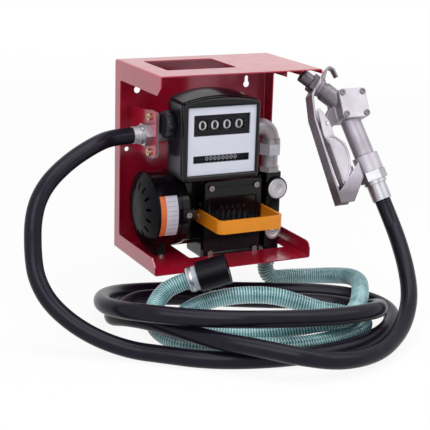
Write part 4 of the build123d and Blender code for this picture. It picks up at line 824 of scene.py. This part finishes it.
def cover_rows(outer, opening, stations, top_z, half_width, middle_x, fade=8):
    """A ring in metres for each station (depth, inset, rise) in mm.

    The inset is the share of the way from the outer outline to the opening's. The rise
    lifts the top by rise times one less the square of x over the half width.
    """
    depth, inset, rise = np.array(stations, float).T
    sideways = (outer[:, 0] - middle_x) / half_width
    arch = smooth_step(outer[:, 1], top_z - fade, top_z) * (1 - sideways**2)
    level = np.zeros((len(depth), len(outer)))
    arched = outer[None] + np.stack([level, rise[:, None] * arch[None]], axis=-1)
    flat = arched * (1 - inset[:, None, None]) + opening[None] * inset[:, None, None]
    depths = np.broadcast_to(depth[:, None], level.shape)
    return np.stack([flat[:, :, 0], depths, flat[:, :, 1]], axis=-1) / 1000


# %% Meter cover
cover_outer = rounded_outline(low_x=-98, high_x=44, low_z=-128, high_z=5, radius=7)
cover_opening = rounded_outline(low_x=-89, high_x=38, low_z=-118, high_z=-3, radius=1.5)
cover_stations = [
    (-112, 0.25, 14), (-112.6, 0.06, 14.6), (-114.5, 0.0, 15), (-125, 0.0, 15),
    (-136, 0.0, 14.6), (-148, 0.0, 13.4), (-158, 0.0, 11.6), (-165, 0.0, 10.4),
    (-169.4, 0.0, 9.6), (-169.8, 0.14, 9.6), (-170.8, 0.14, 9.4), (-171.2, 0.0, 9.4),
    (-175.0, 0.0, 9.2), (-177.2, 0.04, 9.1), (-178.8, 0.16, 9), (-179.7, 0.32, 9),
    (-180, 0.5, 9), (-179.8, 0.7, 9), (-179.0, 0.86, 9), (-177.6, 0.96, 9),
    (-176.0, 1.0, 9), (-114.4, 1.0, 9),
]
cover_rings = cover_rows(
    cover_outer, cover_opening, cover_stations, top_z=5, half_width=71, middle_x=-27
)
meter_cover = grid_piece(
    "meter_cover", cover_rings, "base", "dark_grey", finish="meter_cover", caps=True
)
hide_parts("meter_housing")

# %% [markdown]
# The counter reads four digits. Each wheel has all ten printed round its rim,
# and the drum below has eight small columns. A flat digit cannot simply be laid
# on a wheel, so each is cut into thin level strips and bent round the axis.

# %% Digits bent round a wheel
digit_strips = 9
digit_swell = 0.004


def flat_digit(figure, height, widen):
    """A digit as points (x, y) and faces, centred, its height as given and cut into strips."""
    curve = bpy.data.curves.new("figure", "FONT")
    curve.body = str(figure)
    curve.offset = digit_swell
    mesh = evaluated_mesh(curve)
    work = bmesh.new()
    work.from_mesh(mesh)
    bpy.data.meshes.remove(mesh)
    tall = [vertex.co.y for vertex in work.verts]
    for level in np.linspace(min(tall), max(tall), digit_strips + 1)[1:-1]:
        everything = work.verts[:] + work.edges[:] + work.faces[:]
        bmesh.ops.bisect_plane(work, geom=everything, plane_co=(0, level, 0), plane_no=(0, 1, 0))
    bmesh.ops.triangulate(work, faces=work.faces[:])
    work.verts.index_update()
    points = np.array([vertex.co[:2] for vertex in work.verts])
    faces = np.array([[vertex.index for vertex in face.verts] for face in work.faces])
    work.free()
    centre = (points.min(0) + points.max(0)) / 2
    scale = height / np.ptp(points[:, 1])
    return (points - centre) * (scale * widen, scale), faces


def digit_ring(name, columns, axis_y, axis_z, radius, height, widen, body):
    """Ten digits round a wheel at each column, with all lengths in mm.

    A point's angle is its height over the radius, less a tenth of a turn for each digit.
    """
    points, faces, count = [], [], 0
    for figure in range(10):
        flat, triangles = flat_digit(figure, height, widen)
        angle = flat[:, 1] / radius - figure * np.pi / 5
        ys, zs = axis_y - radius * np.cos(angle), axis_z + radius * np.sin(angle)
        for column in columns:
            points.append(np.column_stack([column + flat[:, 0], ys, zs]) / 1000)
            faces.append(triangles + count)
            count += len(flat)
    mesh = bpy.data.meshes.new(name)
    mesh.from_pydata(np.concatenate(points).tolist(), [], np.concatenate(faces).tolist())
    return new_piece(name, mesh, body)


# %% [markdown]
# The digits stand a tenth of a millimetre proud, so that no faces coincide.

# %% Counter and total digits
wheel_columns = [-62, -39.3, -16.6, 6.1]
digit_shift = 3.2
for k, column in enumerate(wheel_columns):
    wheel_digits = digit_ring(
        f"counter_digits_{k + 1}", [column + digit_shift], axis_y=-142, axis_z=-35,
        radius=26.12, height=16.0, widen=1.38, body=f"wheel_{k + 1}",
    )
    dress(wheel_digits, "printed_white")
total_columns = [-49.5 + 7.6 * k for k in range(8)]
total_digits = digit_ring(
    "total_digits", total_columns, axis_y=-151, axis_z=-91.5,
    radius=17.1, height=7.6, widen=1.1, body="total",
)
dress(total_digits, "printed_grey")
print("digits", len(total_digits.data.polygons), "faces on the drum")

# %% [markdown]
# Between the wheels and the pane stands a black mask. It lets one digit of each
# wheel show and hides the ones above and below it. It is a grid of cells with
# four left out, and a modifier gives the sheet its thickness.


# %% Counter mask
def slotted_plate(name, xs, zs, holes, y, thick):
    """A plate of rectangular cells between the lines xs and zs, without the cells in holes."""
    grid_x, grid_z = np.meshgrid(xs, zs)
    points = np.column_stack([grid_x.ravel(), np.full(grid_x.size, y), grid_z.ravel()]) / 1000
    wide = len(xs)
    cells = [(i, j) for j in range(len(zs) - 1) for i in range(wide - 1) if (i, j) not in holes]
    corners = [j * wide + i for i, j in cells]
    faces = [(first, first + 1, first + wide + 1, first + wide) for first in corners]
    mesh = bpy.data.meshes.new(name)
    mesh.from_pydata(points.tolist(), [], faces)
    plate = new_piece(name, mesh, "base")
    wall = plate.modifiers.new("wall", "SOLIDIFY")
    wall.thickness = thick / 1000
    wall.offset = -1
    return plate


window_shift, window_half = 2.0, 9.2
mask_xs = [-84.0]
for column in wheel_columns:
    mask_xs += [column + window_shift - window_half, column + window_shift + window_half]
mask_xs.append(33.0)
mask_zs = [-56, -42.0, -25.6, -12]
mask_windows = {(2 * k + 1, 1) for k in range(4)}
counter_mask = slotted_plate(
    "counter_mask", mask_xs, mask_zs, mask_windows, y=-171.9, thick=0.8
)
dress(counter_mask, "number_wheel")
print("mask windows", len(mask_windows))

# %% [markdown]
# The two plugs in the port block are turned from aluminium, each with a hexagon
# for its key, and a black ring lies round the larger one. They are lathe work: a
# profile spun round an axis, with the inner rings drawn out to a hexagon.

# %% Turned caps
hex_flat = 0.93


def turned_rows(centre, axis, profile, around=96):
    """Rings in metres round an axis from a profile of (distance, radius, hex share) in mm.

    The hexagon's edge is hex_flat times the radius over the cosine from each flat's middle.
    """
    axis = np.array(axis, float) / np.linalg.norm(axis)
    first = np.cross(axis, (0, 0, 1) if abs(axis[2]) < 0.9 else (1, 0, 0))
    first /= np.linalg.norm(first)
    second = np.cross(axis, first)
    turn = np.linspace(0, 2 * np.pi, around, endpoint=False)
    sixth = (turn + np.pi / 6) % (np.pi / 3) - np.pi / 6
    along, radius, hexed = np.array(profile, float).T
    share = hexed[:, None]
    reach = radius[:, None] * (1 - share + share * hex_flat / np.cos(sixth)[None])
    ring = first * np.cos(turn)[:, None] + second * np.sin(turn)[:, None]
    rows = np.array(centre, float) + along[:, None, None] * axis + reach[:, :, None] * ring[None]
    return rows / 1000


bypass_profile = [
    (0, 17.9, 0), (1.5, 17.9, 0), (2.2, 17.5, 0), (2.5, 16.8, 0), (2.5, 8.2, 0), (2.2, 7.8, 0),
    (1.9, 7.4, 0), (1.9, 5.4, 0), (2.1, 5.0, 1), (1.8, 4.4, 1), (-1.0, 4.3, 1), (-1.2, 0.4, 1),
]
strainer_profile = [
    (0, 14.9, 0), (1.2, 14.9, 0), (1.9, 14.4, 0), (2.1, 13.8, 0), (2.1, 9.4, 0), (1.7, 9.0, 0),
    (1.7, 7.4, 0.3), (1.4, 7.0, 1), (-1.0, 6.9, 1), (-1.2, 4.6, 0.6), (0.4, 3.6, 0),
    (0.9, 2.8, 0), (1.0, 0.4, 0),
]
rim_profile = [
    (-3, 20.6, 0), (0.6, 20.6, 0), (1.6, 20.2, 0), (2.2, 19.4, 0), (2.3, 18.7, 0),
    (1.9, 18.1, 0), (0.8, 18.0, 0), (-3, 18.0, 0),
]
for name, centre, profile, closed, slot, finish in [
    ("bypass_plug_face", (116, -118.2, -170), bypass_profile, True, "plug_metal", "plug_metal"),
    ("strainer_plug_face", (112, -116.4, -249), strainer_profile, True, "plug_metal", "plug_metal"),
    ("bypass_rim", (116, -118.0, -170), rim_profile, False, "black_rubber", "black_plastic"),
]:
    cap_rows = turned_rows(centre, (0, -1, 0), profile)
    grid_piece(name, cap_rows, "base", slot, finish, caps=closed)

# %% [markdown]
# The reset knob is moulded with eight soft lobes to grip. It is the same lathe
# work, with each ring's radius made a slow wave round the axis: the clipped
# cosine has flat crests and hollows, and it fades out towards the knob's middle.

# %% Reset knob
knob_profile = [
    (0, 20.0, 0), (0.8, 22.4, 0), (2.0, 23.4, 0), (12.6, 23.4, 0), (14.2, 22.6, 0),
    (15.2, 20.8, 0), (15.5, 18.6, 0), (15.2, 16.0, 0), (14.2, 14.6, 0), (14.0, 0.4, 0),
]
knob_middle = np.array([0, -0.130, -0.037])
lobe_count, lobe_height, lobe_inset, lobe_steepness = 8, 0.052, 0.045, 1.6
knob_rows = turned_rows((-99, -130, -37), (-1, 0, 0), knob_profile, around=160)
knob_from_axis = (knob_rows - knob_middle) * (0, 1, 1)
lobes = np.cos(lobe_count * np.arctan2(knob_from_axis[:, :, 2], knob_from_axis[:, :, 1]))
gripped = smooth_step(np.linalg.norm(knob_from_axis, axis=2), 0.017, 0.021)
swell = lobe_height * np.clip(lobes * lobe_steepness, -1, 1) - lobe_inset
knob_rows += knob_from_axis * swell[:, :, None] * gripped[:, :, None]
lobed_knob = grid_piece("lobed_knob", knob_rows, "knob", "dark_grey", finish="knob", caps=True)
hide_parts("reset_knob")

# %% [markdown]
# The delivery hose ends in a crimped ferrule. Its ribs are where the die bit the
# sleeve, so its profile is a row of small half waves.

# %% Crimped ferrule
crimp_ribs, points_per_rib = 7, 8
sleeve_length, sleeve_radius, rib_rise, lip_radius = 13.5, 14.35, 0.5, 13.6
crimp = np.linspace(0, 1, crimp_ribs * points_per_rib + 1)
crimp_radius = sleeve_radius + rib_rise * np.abs(np.sin(crimp * crimp_ribs * np.pi))
crimp_radius[[0, -1]] = lip_radius
crimp_profile = np.column_stack([crimp * sleeve_length, crimp_radius, np.zeros(len(crimp))])
crimp_rows = turned_rows((-143.5, -98, -59), (-1, 0, 0), crimp_profile)
grid_piece("crimped_ferrule", crimp_rows, "base", "zinc")

# %% [markdown]
# The pump's front cover is a casting with a raised border, a ledge across its
# top and shallow upright flutes in the middle. Its relief is a height that
# depends on x and z, and its edge is the distance to a rounded rectangle.

# %% Pump cover
plate_height, border_height, ledge_height = 6.2, 1.8, 1.7
flute_height, flute_pitch, flute_steepness, panel_height = 1.5, 11, 2.2, 0.7


def cover_relief(x, z, low_x, high_x, low_z, high_z, corner):
    """Height in mm: the sum of a plate with a rounded edge, a border, a ledge and flutes."""
    middle_x, middle_z = (low_x + high_x) / 2, (low_z + high_z) / 2
    from_x = np.abs(x - middle_x) - (high_x - low_x) / 2 + corner
    from_z = np.abs(z - middle_z) - (high_z - low_z) / 2 + corner
    round_corner = np.hypot(np.maximum(from_x, 0), np.maximum(from_z, 0))
    inside = corner - (round_corner + np.minimum(np.maximum(from_x, from_z), 0))
    plate = plate_height * smooth_step(inside, 0.0, 1.8)
    border = border_height * smooth_step(inside, 1.0, 2.4) * (1 - smooth_step(inside, 11, 13))
    step = smooth_step(z, high_z - 33, high_z - 31.5) * smooth_step(inside, 2.0, 3.0)
    panel = smooth_step(x, low_x + 28, low_x + 30)
    panel *= 1 - smooth_step(x, high_x - 30, high_x - 28)
    upright = smooth_step(z, low_z + 20, low_z + 22)
    upright *= 1 - smooth_step(z, high_z - 60, high_z - 44)
    wave = np.cos((x - middle_x) * 2 * np.pi / flute_pitch)
    flutes = flute_height * np.clip(wave * flute_steepness, -1, 1) * 0.5 * panel * upright
    raised = np.minimum(border + ledge_height * step, border_height)
    return plate + raised + flutes + panel_height * panel * upright


front_xs, front_zs, front_y = (-27, 88.5), (-291, -146), -106.9
cover_x, cover_z = np.meshgrid(np.linspace(*front_xs, 190), np.linspace(*front_zs, 230))
cover_height = cover_relief(cover_x, cover_z, *front_xs, *front_zs, corner=8)
cover_points = np.stack([cover_x, front_y - cover_height, cover_z], axis=-1) / 1000
pump_front = grid_piece("pump_front", cover_points, "base", "cast_black", closed_round=False)
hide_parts("pump_cover")
print("relief", round(float(cover_height.max()), 2), "mm high")

# %% [markdown]
# The nozzle's parts are sand castings, so their edges are soft and their skin is
# a little uneven. A copy of each CAD part is merged, rebuilt from small voxels
# and smoothed, which rounds every edge by about a millimetre.

# %% Castings
merge_distance = 0.00002


def merged_copy(node, name):
    """A copy of a CAD piece's mesh in which points that coincide are merged."""
    mesh = frame["nodes"][node].data.copy()
    mesh.name = name
    work = bmesh.new()
    work.from_mesh(mesh)
    bmesh.ops.remove_doubles(work, verts=work.verts[:], dist=merge_distance)
    work.to_mesh(mesh)
    work.free()
    return mesh


def cast_copy(node, voxel, passes, body):
    """The CAD piece's shape rebuilt from voxels, then relaxed."""
    mesh = merged_copy(node, node + "_cast")
    if "sharp_edge" in mesh.attributes:
        mesh.attributes.remove(mesh.attributes["sharp_edge"])
    piece = new_piece(node + "_cast", mesh, body)
    rebuild = piece.modifiers.new("rebuild", "REMESH")
    rebuild.mode = "VOXEL"
    rebuild.voxel_size = voxel
    rebuild.use_smooth_shade = True
    relax = piece.modifiers.new("relax", "SMOOTH")
    relax.factor = 0.5
    relax.iterations = passes
    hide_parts(node)
    dress(piece, node if node in finishes else "nozzle_metal")


for node, voxel, passes, body in [
    ("nozzle_body", 0.0011, 5, "base"),
    ("trigger_guard", 0.0009, 4, "base"),
    ("trigger_lever", 0.0009, 4, "trigger"),
    ("nozzle_hook", 0.0008, 3, "base"),
    ("nozzle_cover", 0.0008, 3, "base"),
]:
    cast_copy(node, voxel, passes, body)
    print(node, "rebuilt from voxels of", voxel, "m")

# %% [markdown]
# The hand lever has a raised rail round its edge, which stiffens a thin web. The
# rail is one closed curve on each face, given thickness and made a mesh. Its
# points lie across, up and out in the nozzle's own tilted frame.

# %% Lever rails
rail_route = np.array([
    (25, -110), (43, -126), (47, -146), (44.5, -174),
    (31, -194), (26, -190), (17.5, -128), (12, -110),
])
nozzle_origin = np.array([150, -146, 33])
nozzle_across = np.array([1, 0, 0])
nozzle_up = np.array([0, 0.4695, 0.8829])
nozzle_out = np.array([0, -0.8829, 0.4695])
for side, half in (("front", 7.6), ("back", -7.6)):
    flat = np.column_stack([rail_route, np.full(len(rail_route), half)])
    path = nozzle_origin + flat[:, :1] * nozzle_across + flat[:, 1:2] * nozzle_up
    path += flat[:, 2:] * nozzle_out
    curve = nurbs_curve("lever_rail", path / 1000, resolution=10, closed=True)
    curve.bevel_depth = 0.0022
    curve.bevel_resolution = 3
    rail_mesh = evaluated_mesh(curve)
    rail = new_piece(f"lever_rail_{side}", rail_mesh, "trigger")
    dress(rail, "nozzle_metal")
print("lever rails", len(rail_mesh.polygons), "faces each")

# %% [markdown]
# The bypass spring is a coil between the plug and the poppet. When the poppet lifts four
# millimetres, the coil shortens by as much. A copy of the coil takes its place here.

# %% Bypass spring
spring_mesh = merged_copy("bypass_spring", "bypass_coil")
bypass_coil = new_piece("bypass_coil", spring_mesh, "base")
dress(bypass_coil, "spring_steel")
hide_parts("bypass_spring")
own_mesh(bypass_coil)

# %% [markdown]
# A worm clamp holds the teal hose on the white collar. Its band is thin steel,
# six millimetres wide, turned like the caps with its edges rounded over.

# %% Worm clamp
collar_axis = np.array([0.8537, -0.4017, 0.3314])
clamp_centre = np.array(suction_points[-1]) + collar_axis * 3.5
clamp_profile = [
    (0, 21.1, 0), (0, 21.9, 0), (0.6, 22.1, 0), (5.4, 22.1, 0), (6, 21.9, 0), (6, 21.1, 0),
]
clamp_rows = turned_rows(clamp_centre, collar_axis, clamp_profile)
grid_piece("worm_clamp", clamp_rows, "base", "zinc")

# %% [markdown]
# Both hoses are free cords, each with the line that it follows.
# The foot valve, its collar and the clamp sit at the suction hose's end.

# %% Both hoses
print("both hoses made")
